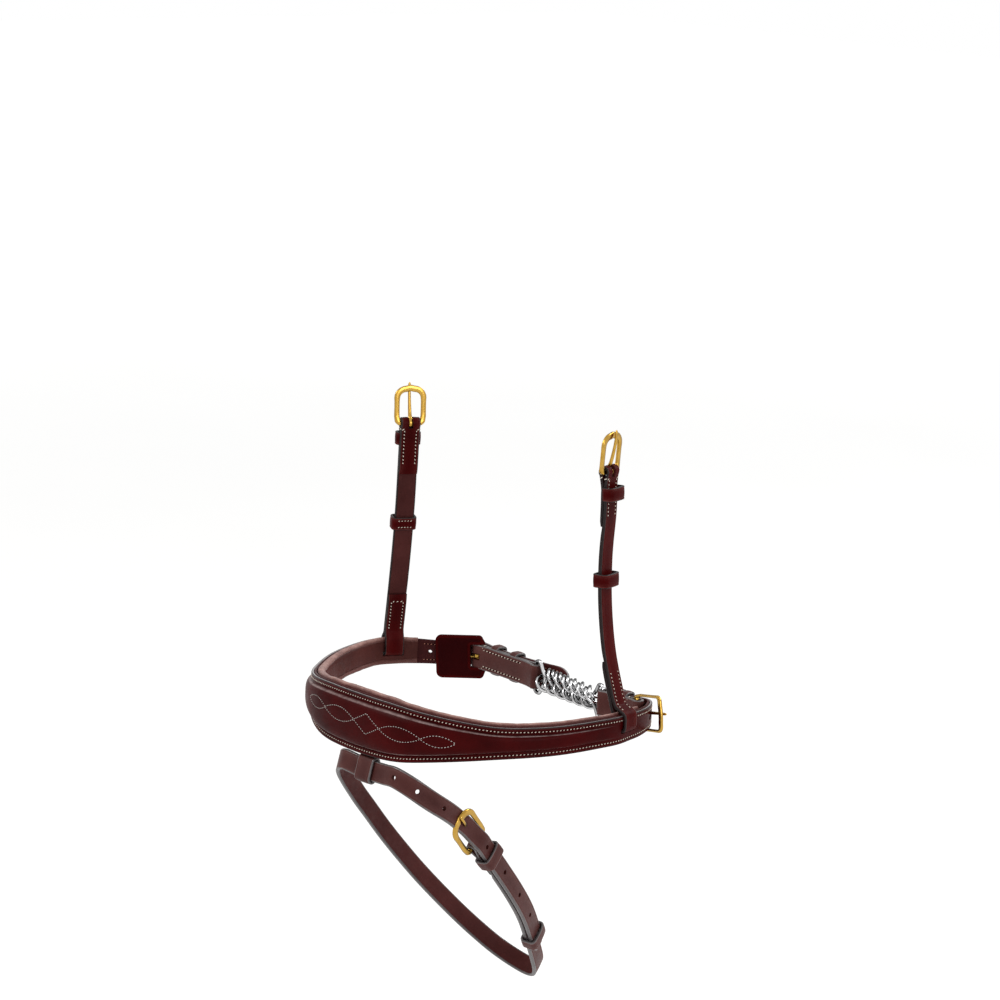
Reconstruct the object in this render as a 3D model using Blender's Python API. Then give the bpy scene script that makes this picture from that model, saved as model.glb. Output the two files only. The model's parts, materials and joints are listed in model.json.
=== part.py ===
"""A raised noseband with a flash strap and a chin chain, built as separate pieces.

World frame: +Z up, the horse faces -Y, +X is the horse's left (near) side.
The loop that goes round the nose lies in the XY plane and is centred on the origin.
"""

import math

import bmesh
import bpy
from mathutils import Matrix, Vector

MM = 0.001
GAP = 0.3 * MM

# Noseband: plan of the line between the face leather and its backing, front to tip
FRONT_PLAN_MM = [(0, -125), (42, -120), (76, -97), (102, -60), (112, -20)]
NEAR_PLAN_MM = [(110, 2), (106.5, 16), (100.5, 28), (93, 35.4), (86, 34.4), (78, 32.3), (67, 31.2)]
OFF_PLAN_MM = [(107, 0), (97, 13), (85.4, 23.8), (78, 32.6), (70.5, 42.8), (60, 41.8), (50, 40.3),
               (30, 39.5), (8, 41.0), (-2, 42.6), (-12, 44.2)]
BACKING_THICK = 1.6 * MM
FACE_THICK = 1.6 * MM
FACE_INSET = 1.0 * MM
HALF_HEIGHTS_MM = [(0, 19.4), (32, 18.8), (61, 14.7), (85, 11.7), (100, 10.2), (130, 9.6), (168, 9.3),
                   (187, 9.1), (205, 8.6), (216, 8.0), (400, 8.0)]
CENTRE_MM = [(0, -3.2), (32, -2.8), (61, -2.2), (100, -2.4), (130, -1.4), (168, 0), (400, 0)]
CROWN_MM = [(0, 4.0), (60, 3.8), (105, 2.6), (150, 1.8), (176, 0.0), (400, 0.0)]
CROWN_MARGIN = 5.4 * MM
CHANNEL_WIDTH = 0.9 * MM
CHANNEL_DEPTH = 0.4 * MM
PADDING_GAP = 0.5 * MM
PADDING_THICK_MM = [(0, 6.0), (100, 5.2), (155, 4.0), (175, 2.8), (400, 2.8)]
PADDING_RISE = 2.0 * MM
PADDING_END = 206 * MM
TAB_PLACE = 8 * MM
TAB_HALF = 9 * MM
TAB_THICK = 1.2 * MM
TAB_TOP = -6 * MM
TAB_LOW = -22.7 * MM
TAB_RECESS = 21 * MM
BILLET_TIP = 9 * MM
BILLET_PITCH = 22 * MM
BILLET_HOLES = {"left": (1,), "right": (-1, 1, 2, 3)}
BAND_STEP = 13 * MM
BEND_STEP = 5.5 * MM
BEND_START = 160 * MM
BEND_END = 262 * MM

# Straps and their folds
STRAP_HALF = 6.5 * MM
CHIN_HALF = 8.2 * MM
PLY = 2.2 * MM
FLASH_THICK = 2.8 * MM
EYE_INNER = 2.1 * MM
EYE_OUTER = 3.9 * MM
FOLD_HALF = 1.9 * MM
EDGE = 0.4 * MM
HOLE_RADIUS = 1.9 * MM

# Buckles
BAR_HALF = 1.5 * MM
BUCKLE_LENGTH = 22 * MM
BUCKLE_LEG = 3.2 * MM
BUCKLE_END = 3.6 * MM
PRONG_WIDTH = 2.2 * MM
PRONG_EYE = 1.85 * MM
PRONG_SLOT = 4.2 * MM

# Hanger straps: place on the band and side profile, outward and up from the band's line
HANGER_Y = -3 * MM
HANGER_PROFILE_MM = [(-3.0, 15.7), (-9.5, 45), (-15.5, 75), (-19.5, 105), (-21.3, 135), (-22, 159)]
HANGER_STATIONS = 14
HANGER_LOOP_MM = [(-0.8, 13.2), (1.2, 12.2), (2.8, 10.6), (3.9, 9.2), (4.4, 7.8), (4.4, -2.2), (4.0, -3.2),
                  (3.0, -3.6), (-6.2, -3.6), (-7.2, -3.2), (-7.6, -2.2), (-7.6, 7.8), (-7.4, 9.6),
                  (-6.6, 11.6), (-5.2, 13.2)]
HANGER_LOOP_HOLE_MM = [(2.2, 7.8), (1.7, 8.9), (0.3, 10.1), (-1.4, 11.0), (-3.2, 11.3), (-4.7, 10.6),
                       (-5.4, 9.2), (-5.5, 7.6), (-5.5, -0.6), (-5.1, -1.2), (1.8, -1.2), (2.2, -0.6)]
HANGER_LOW_FOLD = 26 * MM
HANGER_TOP_FOLD = 34 * MM
SLOT_LOW = -4.0 * MM
SLOT_HIGH = -0.8 * MM
SLOT_WIDTH = 14.4 * MM
KEEPER_WALL = 1.5 * MM
KEEPER_LENGTH = 8.5 * MM
BILLET_SPACE = 3.4 * MM
CHIN_KEEPER = {"left": 5.4 * MM, "right": 6.5 * MM}
CHIN_KEEPER_PLACES = {"left": (11.8 * MM, 18.2 * MM), "right": (17 * MM, 36 * MM)}
CHIN_SPACE = 1.4 * MM

# Chin straps: buckle bar and chain fold in plan, and each buckle's turn from the X axis
NEAR_HINGE_MM = (90, 29)
NEAR_FOLD_MM = (62, 26.5)
OFF_HINGE_MM = (-67, 37)
OFF_FOLD_MM = (-8, 34)
NEAR_BUCKLE_TURN = math.radians(-15)
OFF_BUCKLE_TURN = math.radians(202)
PAD_TURN = math.radians(208)

# Chin chain
WIRE = 1.05 * MM
RING_HALF_WIDTH = 7.0 * MM
RING_SLACK = 1.1 * MM
PAIR_SPREAD = 3.6 * MM
RING_TWIST = math.radians(54)
PHASE_REACH = math.radians(26)
RING_PAIRS = 6
RING_STEPS = 18
FIRST_PAIR = 2.6 * MM
END_RING_WIRE = 1.3 * MM
END_RING_LENGTH = 10 * MM
END_RING_HALF = 10.5 * MM
END_RING_CORNER = 2.5 * MM
END_RING_SHOULDER = 4.6 * MM
END_RING_TIP = 3.0 * MM
END_RING_TIP_RISE = 1.4 * MM

# Flash strap: plan in its own plane (across, down) from the loop, and how that plane leans
FLASH_HINGE_MM = (8, -122.2, -26.6)
FLASH_DROP = 5.1 * MM
FLASH_LEAN = math.radians(47.3)
FLASH_TILT = math.radians(12)
FLASH_SWEEP = 0.3
FLASH_SWEEP_EASE = 15 * MM
FLASH_LOOP_LEAN = math.radians(15)
FLASH_PLAN_MM = [(42.5, 72), (42.6, 88), (41.9, 103), (38.9, 128), (33.9, 151.5), (24.5, 178), (15.6, 200.4),
                 (9.8, 213.5), (4.5, 221), (-1.6, 222.9), (-9.2, 219.7), (-20.3, 210.7), (-29.6, 198.9),
                 (-39.7, 176.7), (-46.6, 151), (-50.9, 122.5), (-51.2, 90), (-48.9, 66), (-44.5, 43),
                 (-40, 30), (-35.5, 18.5), (-31.5, 9), (-27, 2), (-21, -1.8), (-15, -1.6), (-8, -0.2), (0, 0),
                 (8, 0), (17, -0.8), (28, -1.6), (40.5, 7), (45.9, 26.3), (45.3, 49)]
FLASH_LAYER_MM = [(-60, 0), (-24, -0.2), (-12, 2.2), (0, 5.8), (14, 4.2), (32, 3.7), (400, 3.7)]
FLASH_OVERLAP = 122 * MM
FLASH_STEP = 9 * MM
FLASH_BEND_STEP = 3 * MM
FLASH_BEND = math.radians(25)
FLASH_PRONG_HOLE = -11 * MM
FLASH_HOLES_MM = (-59, -42, -21.5, 15.5, 53.5, 79, 103)
FLASH_KEEPERS_MM = {"fixed": 14.5, "sliding": 108}

PARTS = None
CUTTERS = None


def clear_scene():
    """Empty the scene and make the two collections."""
    global PARTS, CUTTERS
    for obj in list(bpy.data.objects):
        bpy.data.objects.remove(obj, do_unlink=True)
    PARTS = bpy.data.collections.new("noseband")
    CUTTERS = bpy.data.collections.new("cutters")
    bpy.context.scene.collection.children.link(PARTS)
    bpy.context.scene.collection.children.link(CUTTERS)


def material(name, colour, roughness, metallic):
    """A plain Principled material."""
    made = bpy.data.materials.new(name)
    made.use_nodes = True
    shader = made.node_tree.nodes["Principled BSDF"]
    shader.inputs["Base Color"].default_value = (*colour, 1)
    shader.inputs["Roughness"].default_value = roughness
    shader.inputs["Metallic"].default_value = metallic
    made.diffuse_color = (*colour, 1)
    return made


def blend(table, at):
    """Read a table of (place, value) pairs with straight stretches between them."""
    for (x0, y0), (x1, y1) in zip(table, table[1:]):
        if at <= x1:
            return y0 + (y1 - y0) * max(0.0, at - x0) / (x1 - x0)
    return table[-1][1]


class Route:
    """A smooth curve through its control points, measured along its length."""

    def __init__(self, controls, closed=False, fine=24):
        points = [Vector(p) for p in controls]
        count = len(points)
        self.closed = closed
        self.points = []
        for i in range(count if closed else count - 1):
            if closed:
                a, b, c, d = (points[(i + k) % count] for k in (-1, 0, 1, 2))
            else:
                b, c = points[i], points[i + 1]
                a = points[i - 1] if i else 2 * b - c
                d = points[i + 2] if i + 2 < count else 2 * c - b
            for k in range(fine):
                t = k / fine
                self.points.append(0.5 * (2 * b + (c - a) * t + (2 * a - 5 * b + 4 * c - d) * t ** 2
                                          + (3 * b - a - 3 * c + d) * t ** 3))
        self.points.append(points[0] if closed else points[-1])
        self.marks = [0.0]
        for a, b in zip(self.points, self.points[1:]):
            self.marks.append(self.marks[-1] + (b - a).length)
        self.length = self.marks[-1]

    def at(self, place):
        """The point at a length along the curve; a closed curve goes round again."""
        if self.closed:
            place %= self.length
        place = min(max(place, 0.0), self.length)
        for i in range(len(self.marks) - 1):
            if place <= self.marks[i + 1]:
                span = self.marks[i + 1] - self.marks[i]
                return self.points[i].lerp(self.points[i + 1], (place - self.marks[i]) / span)
        return self.points[-1].copy()

    def heading(self, place):
        """The unit direction of travel."""
        reach = 0.8 * MM
        if self.closed:
            return (self.at(place + reach) - self.at(place - reach)).normalized()
        low, high = max(0.0, place - reach), min(self.length, place + reach)
        return (self.at(high) - self.at(low)).normalized()


def metres(points):
    """Points in millimetres as 3-D points in metres."""
    return [Vector((*p, 0)[:3]) * MM for p in points]


def axes(origin, along, outward):
    """A matrix with x along, z outward and y across."""
    x = Vector(along).normalized()
    y = Vector(outward).cross(x).normalized()
    z = x.cross(y)
    return Matrix.Translation(Vector(origin)) @ Matrix((x, y, z)).transposed().to_4x4()


def anchor(name, matrix):
    """An empty on a joint's axis or at an assembly's place."""
    empty = bpy.data.objects.new(name, None)
    empty.empty_display_size = 10 * MM
    empty.matrix_world = matrix
    PARTS.objects.link(empty)
    return empty


def settle(name, mesh, place, colour, home=None):
    """Link a mesh as a part: its vertices are in the frame `place`, its origin at `home`."""
    base = home.matrix_world.inverted() if home else Matrix.Identity(4)
    mesh.transform(base @ place)
    if (base @ place).determinant() < 0:
        mesh.flip_normals()
    mesh.name = name
    mesh.materials.clear()
    mesh.materials.append(colour)
    obj = bpy.data.objects.new(name, mesh)
    PARTS.objects.link(obj)
    if home:
        obj.parent = home
    return obj


def curve_mesh(curve):
    """Turn curve data into a welded mesh."""
    holder = bpy.data.objects.new("curve", curve)
    bpy.context.scene.collection.objects.link(holder)
    graph = bpy.context.evaluated_depsgraph_get()
    mesh = bpy.data.meshes.new_from_object(holder.evaluated_get(graph))
    bpy.data.objects.remove(holder, do_unlink=True)
    work = bmesh.new()
    work.from_mesh(mesh)
    bmesh.ops.remove_doubles(work, verts=work.verts, dist=0.005 * MM)
    bmesh.ops.recalc_face_normals(work, faces=work.faces)
    work.to_mesh(mesh)
    work.free()
    return mesh


def plate(loops, thickness, edge=EDGE):
    """A flat outline with holes in XY, as thick as asked, its edges chamfered."""
    curve = bpy.data.curves.new("outline", "CURVE")
    curve.dimensions = "2D"
    curve.fill_mode = "BOTH"
    curve.extrude = thickness / 2 - edge
    curve.bevel_depth = edge
    curve.bevel_resolution = 0
    curve.offset = -edge
    for loop in loops:
        spline = curve.splines.new("POLY")
        spline.points.add(len(loop) - 1)
        spline.use_cyclic_u = True
        for point, (x, y) in zip(spline.points, loop):
            point.co = (x, y, 0, 1)
    return curve_mesh(curve)


def wire_ring(points, radius, resolution=1):
    """A closed ring of round wire through the points."""
    curve = bpy.data.curves.new("wire", "CURVE")
    curve.dimensions = "3D"
    curve.fill_mode = "FULL"
    curve.bevel_depth = radius
    curve.bevel_resolution = resolution
    spline = curve.splines.new("POLY")
    spline.points.add(len(points) - 1)
    spline.use_cyclic_u = True
    for point, place in zip(spline.points, points):
        point.co = (*place, 1)
    return curve_mesh(curve)


def loft(rings):
    """A solid skinned through rings of points, closed at both ends."""
    mesh = bpy.data.meshes.new("loft")
    work = bmesh.new()
    rows = [[work.verts.new(p) for p in ring] for ring in rings]
    count = len(rows[0])
    for low, high in zip(rows, rows[1:]):
        for i in range(count):
            j = (i + 1) % count
            work.faces.new((low[i], low[j], high[j], high[i]))
    work.faces.new(rows[0])
    work.faces.new(rows[-1][::-1])
    bmesh.ops.recalc_face_normals(work, faces=work.faces)
    work.to_mesh(mesh)
    work.free()
    return mesh


def arc(centre, radius, start, end, steps):
    """Points on an arc, angles in degrees."""
    found = []
    for k in range(steps + 1):
        angle = math.radians(start + (end - start) * k / steps)
        found.append((centre[0] + radius * math.cos(angle), centre[1] + radius * math.sin(angle)))
    return found


def circle(centre, radius, steps=12):
    """A closed circle whose flats touch the radius."""
    return arc(centre, radius / math.cos(math.pi / steps), 0, 360, steps)[:-1]


def rounded(low, high, radius, steps=3):
    """A rectangle with round corners between two corner points."""
    (x0, y0), (x1, y1) = low, high
    return (arc((x1 - radius, y1 - radius), radius, 0, 90, steps)
            + arc((x0 + radius, y1 - radius), radius, 90, 180, steps)
            + arc((x0 + radius, y0 + radius), radius, 180, 270, steps)
            + arc((x1 - radius, y0 + radius), radius, 270, 360, steps))


def cut(obj, cutter):
    """Cut one part with a cutter."""
    step = obj.modifiers.new("cut", "BOOLEAN")
    step.operation = "DIFFERENCE"
    step.solver = "EXACT"
    step.object = cutter


def cutter_of(name, mesh, place):
    """Keep a mesh as a cutter at a place."""
    mesh.transform(place)
    if place.determinant() < 0:
        mesh.flip_normals()
    obj = bpy.data.objects.new(name, mesh)
    obj.display_type = "WIRE"
    obj.hide_render = True
    CUTTERS.objects.link(obj)
    return obj


def box_cutter(name, size, place):
    """A box cutter centred on a place."""
    mesh = bpy.data.meshes.new(name)
    work = bmesh.new()
    bmesh.ops.create_cube(work, size=1, matrix=Matrix.Diagonal((*size, 1)))
    work.to_mesh(mesh)
    work.free()
    return cutter_of(name, mesh, place)


def round_cutter(name, radius, length, place, sides=8):
    """A round cutter along z, centred on a place."""
    mesh = bpy.data.meshes.new(name)
    work = bmesh.new()
    bmesh.ops.create_cone(work, cap_ends=True, segments=sides, radius1=radius, radius2=radius, depth=length)
    work.to_mesh(mesh)
    work.free()
    return cutter_of(name, mesh, place)


class Band:
    """The line that the band's layers follow, measured from the middle of the front."""

    def __init__(self):
        near = metres(FRONT_PLAN_MM[1:] + NEAR_PLAN_MM)
        off = [Vector((-p.x, p.y, 0)) for p in metres(FRONT_PLAN_MM[1:] + OFF_PLAN_MM)]
        self.route = Route(off[::-1] + metres(FRONT_PLAN_MM[:1]) + near)
        self.front = min(range(len(self.route.points)), key=lambda i: self.route.points[i].y)
        self.front = self.route.marks[self.front]
        self.low = -self.front
        self.high = self.route.length - self.front

    def frame(self, place):
        """Point and outward direction at a signed length from the front."""
        heading = self.route.heading(place + self.front)
        return self.route.at(place + self.front), Vector((heading.y, -heading.x, 0))

    def point(self, place, outward, up):
        """A point beside the line."""
        base, normal = self.frame(place)
        return base + normal * outward + Vector((0, 0, up))

    def place_at_y(self, side, y):
        """Where the line crosses a depth on one side, past its widest part."""
        place = side * 170 * MM
        while self.frame(place)[0].y < y:
            place += side * 0.2 * MM
        return place

    def nearest(self, point):
        """The signed length at which the line passes closest to a point."""
        closest = min(range(len(self.route.points)), key=lambda i: (self.route.points[i] - point).length)
        return self.route.marks[closest] - self.front

    def stations(self):
        """Lengths at which a layer has a section: closer at the bends and tips."""
        found = {0.0}
        for side, end in ((-1, -self.low), (1, self.high)):
            place = 0.0
            while place < end - 7 * MM:
                found.add(side * place)
                place += BEND_STEP if BEND_START < place < BEND_END else BAND_STEP
            found.update(side * (end - left) for left in (5 * MM, 2.2 * MM, 0.6 * MM, 0))
        return sorted(found)

    def centre(self, place):
        """Height of the band's middle line."""
        return blend(CENTRE_MM, abs(place) / MM) * MM

    def half_height(self, place):
        """Half the height of the backing."""
        half = blend(HALF_HEIGHTS_MM, abs(place) / MM) * MM
        left = min(place - self.low, self.high - place)
        if left < BILLET_TIP:
            half *= math.sqrt(1 - (1 - max(left, 0.1 * MM) / BILLET_TIP) ** 2) * 0.8 + 0.2
        return half


def backing_rings(band):
    """Sections of the thin lining leather behind the face."""
    rings = []
    for place in band.stations():
        half = band.half_height(place)
        edge = min(EDGE, half / 3)
        outline = [(-BACKING_THICK + edge, -half), (-edge, -half), (0, -half + edge), (0, half - edge),
                   (-edge, half), (-BACKING_THICK + edge, half), (-BACKING_THICK, half - edge),
                   (-BACKING_THICK, -half + edge)]
        rings.append([band.point(place, outward, up + band.centre(place)) for outward, up in outline])
    return rings


def face_rings(band):
    """Sections of the raised face: flat stitched margins, a channel and a round crown."""
    rings = []
    inside = GAP
    outside = GAP + FACE_THICK
    for place in band.stations():
        half = band.half_height(place) - min(FACE_INSET, band.half_height(place) * 0.3)
        edge = min(EDGE, half / 3)
        crown = blend(CROWN_MM, abs(place) / MM) * MM
        foot = max(half - CROWN_MARGIN, half * 0.3)
        dip = min(CHANNEL_DEPTH, crown)
        channel = min(CHANNEL_WIDTH, (half - foot) / 2)
        side = [(inside, -half), (outside - edge, -half), (outside, -half + edge),
                (outside, -foot - channel), (outside - dip, -foot),
                (outside + 0.55 * crown, -0.84 * foot), (outside + 0.86 * crown, -0.5 * foot)]
        outline = side + [(outside + crown, 0)] + [(n, -z) for n, z in side[::-1]]
        rings.append([band.point(place, outward, up + band.centre(place)) for outward, up in outline])
    return rings


def padding_rings(band):
    """Sections of the soft lining, rolled over at its top edge."""
    rings = []
    inside = [place for place in band.stations() if abs(place) < PADDING_END - 4 * MM]
    for place in [-PADDING_END] + inside + [PADDING_END]:
        thick = blend(PADDING_THICK_MM, abs(place) / MM) * MM
        half = band.half_height(place) - 0.8 * MM
        top = half + PADDING_RISE
        outer = -BACKING_THICK - PADDING_GAP
        if abs(place - TAB_PLACE) < TAB_RECESS:
            outer -= TAB_THICK
        inner = outer - thick
        outline = [(outer, -half), (outer, half), (outer, top - 0.8 * MM), (outer - 0.8 * MM, top),
                   (outer - 0.55 * thick, top), (inner + 0.3 * MM, top - 1.6 * MM), (inner, 0.45 * half),
                   (inner, -0.45 * half), (inner + 0.4 * MM, -half + 1.6 * MM), (outer - 0.6 * thick, -half)]
        rings.append([band.point(place, outward, up + band.centre(place)) for outward, up in outline])
    return rings


def make_loop_tab(band, colours):
    """The leather tab between backing and padding that carries the flash loop."""
    near, far = -BACKING_THICK - GAP, -BACKING_THICK - GAP - TAB_THICK
    edge = 0.3 * MM
    rings = []
    for k in range(7):
        outline = [(near, TAB_LOW + edge), (near, TAB_TOP - edge), (near - edge, TAB_TOP),
                   (far + edge, TAB_TOP), (far, TAB_TOP - edge), (far, TAB_LOW + edge),
                   (far + edge, TAB_LOW), (near - edge, TAB_LOW)]
        rings.append([band.point(TAB_PLACE + TAB_HALF * (k / 3 - 1), *p) for p in outline])
    settle("flash_loop_tab", loft(rings), Matrix.Identity(4), colours["strap"])


def make_band(band, colours):
    """The three layers of the nose part, with the hanger slots and billet holes."""
    face = settle("noseband_face", loft(face_rings(band)), Matrix.Identity(4), colours["face"])
    backing = settle("noseband_backing", loft(backing_rings(band)), Matrix.Identity(4), colours["backing"])
    padding = settle("noseband_padding", loft(padding_rings(band)), Matrix.Identity(4), colours["padding"])
    for side, name in ((1, "near"), (-1, "off")):
        point, normal = band.frame(band.place_at_y(side, HANGER_Y))
        middle = point + Vector((0, 0, (SLOT_LOW + SLOT_HIGH) / 2))
        slot = box_cutter(f"slot_{name}", (24 * MM, SLOT_WIDTH, SLOT_HIGH - SLOT_LOW),
                          axes(middle, normal, (0, 0, 1)))
        for layer in (face, backing, padding):
            cut(layer, slot)
    return face, backing, padding


def drill(name, layers, point, along, radius=HOLE_RADIUS, length=12 * MM):
    """A round hole through some layers."""
    helper = (0, 0, 1) if abs(Vector(along).normalized().z) < 0.9 else (1, 0, 0)
    turned = axes(point, along, helper) @ Matrix.Rotation(math.pi / 2, 4, "Y")
    tool = round_cutter(name, radius, length, turned)
    for layer in layers:
        cut(layer, tool)


def fold_outline(length, half, far_eye):
    """Side outline of a strap folded round a bar at x = 0 and, if asked, at x = length."""
    near = arc((0, 0), EYE_OUTER, 38, 322, 12)
    if far_eye:
        far = arc((length, 0), EYE_OUTER, -142, 142, 12)
        return near + [(7.5 * MM, -half)] + [(length - 7.5 * MM, -half)] + far + [
            (length - 7.5 * MM, half), (7.5 * MM, half)]
    return near + [(7.5 * MM, -half), (length, -half), (length, half), (7.5 * MM, half)]


def buckle_outline(half_width):
    """Outline of a buckle frame: square at the bar, with a rounded end."""
    outer_half = half_width + BUCKLE_LEG
    end = BUCKLE_LENGTH + BUCKLE_END / 2
    outer = [(-BAR_HALF, -outer_half + 0.8 * MM), (-BAR_HALF + 0.8 * MM, -outer_half)]
    outer += arc((end - 6 * MM, -outer_half + 6 * MM), 6 * MM, -90, -22, 4)
    outer += arc((end - 6 * MM, outer_half - 6 * MM), 6 * MM, 22, 90, 4)
    outer += [(-BAR_HALF + 0.8 * MM, outer_half), (-BAR_HALF, outer_half - 0.8 * MM)]
    inner_end = BUCKLE_LENGTH - BUCKLE_END / 2
    inner = [(BAR_HALF, -half_width)]
    inner += arc((inner_end - 3.5 * MM, -half_width + 3.5 * MM), 3.5 * MM, -90, -15, 3)
    inner += arc((inner_end - 3.5 * MM, half_width - 3.5 * MM), 3.5 * MM, 15, 90, 3)
    inner += [(BAR_HALF, half_width)]
    return [outer, inner]


def prong_outline():
    """Side outline of a prong: an eye on the bar and a tapered pin over the end bar."""
    eye = PRONG_EYE + 1.15 * MM
    top = 2 * BAR_HALF + 0.55 * MM
    pin_low = [(5 * MM, -0.4 * MM), (14 * MM, 0.9 * MM), (BUCKLE_LENGTH - 3 * MM, BAR_HALF + GAP),
               (BUCKLE_LENGTH + 3.2 * MM, BAR_HALF + GAP)]
    pin_high = [(BUCKLE_LENGTH + 4.4 * MM, BAR_HALF + 0.9 * MM), (BUCKLE_LENGTH + 3.4 * MM, top),
                (BUCKLE_LENGTH - 4 * MM, top + 0.25 * MM), (13 * MM, 2.9 * MM), (5 * MM, 1.9 * MM)]
    return [arc((0, 0), eye, 40, 330, 8) + pin_low + pin_high, circle((0, 0), PRONG_EYE, 8)]


def make_buckle(name, place, half_width, colours, home):
    """A buckle's frame and prong; x runs from the bar to the end bar, z points outward."""
    settle(f"{name}_buckle_frame", plate(buckle_outline(half_width), 2 * BAR_HALF, 0.7 * MM),
           place, colours["brass"], home)
    side = place @ Matrix.Rotation(math.pi / 2, 4, "X")
    settle(f"{name}_buckle_prong", plate(prong_outline(), PRONG_WIDTH), side, colours["brass"], home)


def make_keeper(name, place, low, high, half_width, colours, home, length=KEEPER_LENGTH):
    """A leather loop round a strap: x along the strap, y across, z outward from low to high."""
    wall = KEEPER_WALL
    inner = rounded((low, -half_width - GAP), (high, half_width + GAP), 0.7 * MM, 1)
    outer = rounded((low - wall, -half_width - GAP - wall), (high + wall, half_width + GAP + wall),
                    1.8 * MM, 2)
    turned = place @ Matrix(((0, 0, -1, 0), (0, 1, 0, 0), (1, 0, 0, 0), (0, 0, 0, 1)))
    settle(name, plate([outer, inner], length, 0.3 * MM), turned, colours["strap"], home)


def make_hanger(side, name, band, colours):
    """One hanger strap: the loop on the band, the strap, its buckle and its keepers."""
    point, normal = band.frame(band.place_at_y(side, HANGER_Y))
    root = axes(point, normal, (0, 0, 1))
    side_on = root @ Matrix.Rotation(math.pi / 2, 4, "X")
    loops = [[(x * MM, y * MM) for x, y in loop] for loop in (HANGER_LOOP_MM, HANGER_LOOP_HOLE_MM)]
    settle(f"{name}_loop", plate(loops, 2 * STRAP_HALF), side_on, colours["strap"])

    foot_out, foot_up = HANGER_PROFILE_MM[0]
    hinge = anchor(f"{name}_hinge", root @ Matrix.Translation((foot_out * MM, 0, foot_up * MM)))
    route = Route(metres(HANGER_PROFILE_MM))
    bar = route.length
    outer_side, inner_side = [], []
    for k in range(HANGER_STATIONS + 1):
        place = bar * k / HANGER_STATIONS
        if place > bar - 7 * MM:
            continue
        heading = route.heading(place)
        out = Vector((heading.y, -heading.x, 0))
        outer_side.append(route.at(place) + out * PLY)
        doubled = place < HANGER_LOW_FOLD or place > bar - HANGER_TOP_FOLD
        inner_side.append(route.at(place) - out * (PLY if doubled else 0.4 * MM))
    heading = route.heading(bar)
    turn = math.degrees(math.atan2(heading.y, heading.x))
    end = route.at(bar)
    eye = arc(end, EYE_OUTER, turn - 142, turn + 142, 12)
    start = route.at(0)
    low = math.degrees(math.atan2(route.heading(0).y, route.heading(0).x))
    foot = arc(start, PLY, low + 90, low + 270, 7)
    outline = foot + [p[:2] for p in outer_side[1:]] + eye + [p[:2] for p in inner_side[:0:-1]]
    strap = settle(f"{name}_strap", plate([outline, circle(end, EYE_INNER)], 2 * STRAP_HALF), side_on,
                   colours["strap"], hinge)

    def along(place):
        """The frame at a length up the strap: x up, z outward."""
        where = side_on @ route.at(place)
        up = side_on.to_3x3() @ route.heading(place)
        return axes(where, up, up.cross(side_on.to_3x3() @ Vector((0, 0, 1))))

    top = along(bar)
    cut(strap, box_cutter(f"{name}_prong_slot", (11 * MM, PRONG_SLOT, 12 * MM),
                          top @ Matrix.Translation((0.5 * MM, 0, 0))))
    bar_home = anchor(f"{name}_bar", top)
    tilt = Matrix.Rotation(math.radians(-6), 4, "Y")
    make_buckle(name, top @ tilt, STRAP_HALF + 0.6 * MM, colours, bar_home)
    make_keeper(f"{name}_fixed_keeper", along(bar - 15 * MM), -PLY - GAP, PLY + BILLET_SPACE,
                STRAP_HALF, colours, hinge)
    slider = along(bar * 0.49)
    make_keeper(f"{name}_sliding_keeper", slider, -0.4 * MM - GAP, PLY + BILLET_SPACE,
                STRAP_HALF, colours, anchor(f"{name}_slide", slider))


def make_chin(side, name, hinge_mm, fold_mm, turn, band, layers, colours):
    """One chin strap with its buckle; returns its frame and length."""
    hinge, fold = (Vector((*p, 0)) * MM for p in (hinge_mm, fold_mm))
    along = (fold - hinge).normalized()
    outward = Vector((-along.y, along.x, 0)) * (1 if side < 0 else -1)
    frame = axes(hinge, along, outward)
    side_on = frame @ Matrix.Rotation(math.pi / 2, 4, "X")
    length = (fold - hinge).length
    outline = fold_outline(length, FOLD_HALF, True)
    loops = [outline, circle((0, 0), EYE_INNER), circle((length, 0), EYE_INNER)]
    strap = settle(f"{name}_chin_strap", plate(loops, 2 * CHIN_HALF), side_on, colours["strap"])
    cut(strap, box_cutter(f"{name}_chin_slot", (11 * MM, PRONG_SLOT, 12 * MM),
                          frame @ Matrix.Translation((-0.5 * MM, 0, 0))))
    direction = Vector((math.cos(turn), math.sin(turn), 0))
    face_out = Vector((direction.y, -direction.x, 0)) * (1 if side < 0 else -1)
    buckle = axes(hinge, direction, face_out)
    make_buckle(f"{name}_chin", buckle, CHIN_HALF + 0.8 * MM, colours, anchor(f"{name}_chin_bar", buckle))
    pin = buckle @ Vector((11.5 * MM, 0, 1.3 * MM))
    drill(f"{name}_prong_hole", layers, pin, buckle.to_3x3() @ Vector((1, 0, 0.12)), 1.8 * MM, 15 * MM)
    for k in BILLET_HOLES[name]:
        point, normal = band.frame(band.nearest(pin) + side * k * BILLET_PITCH)
        drill(f"{name}_billet_hole_{k}", layers, point, normal)
    return frame, length


def chin_keepers(name, frame, colours):
    """Fixed and sliding keepers on a chin strap."""
    low, high = -FOLD_HALF - GAP, FOLD_HALF + GAP + BACKING_THICK + GAP + FACE_THICK + CHIN_SPACE
    for kind, place in zip(("fixed", "sliding"), CHIN_KEEPER_PLACES[name]):
        where = frame @ Matrix.Translation((place, 0, 0))
        make_keeper(f"{name}_chin_{kind}_keeper", where, low, high, CHIN_HALF + 0.2 * MM, colours,
                    anchor(f"{name}_chin_{kind}_place", where), CHIN_KEEPER[name])


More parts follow.
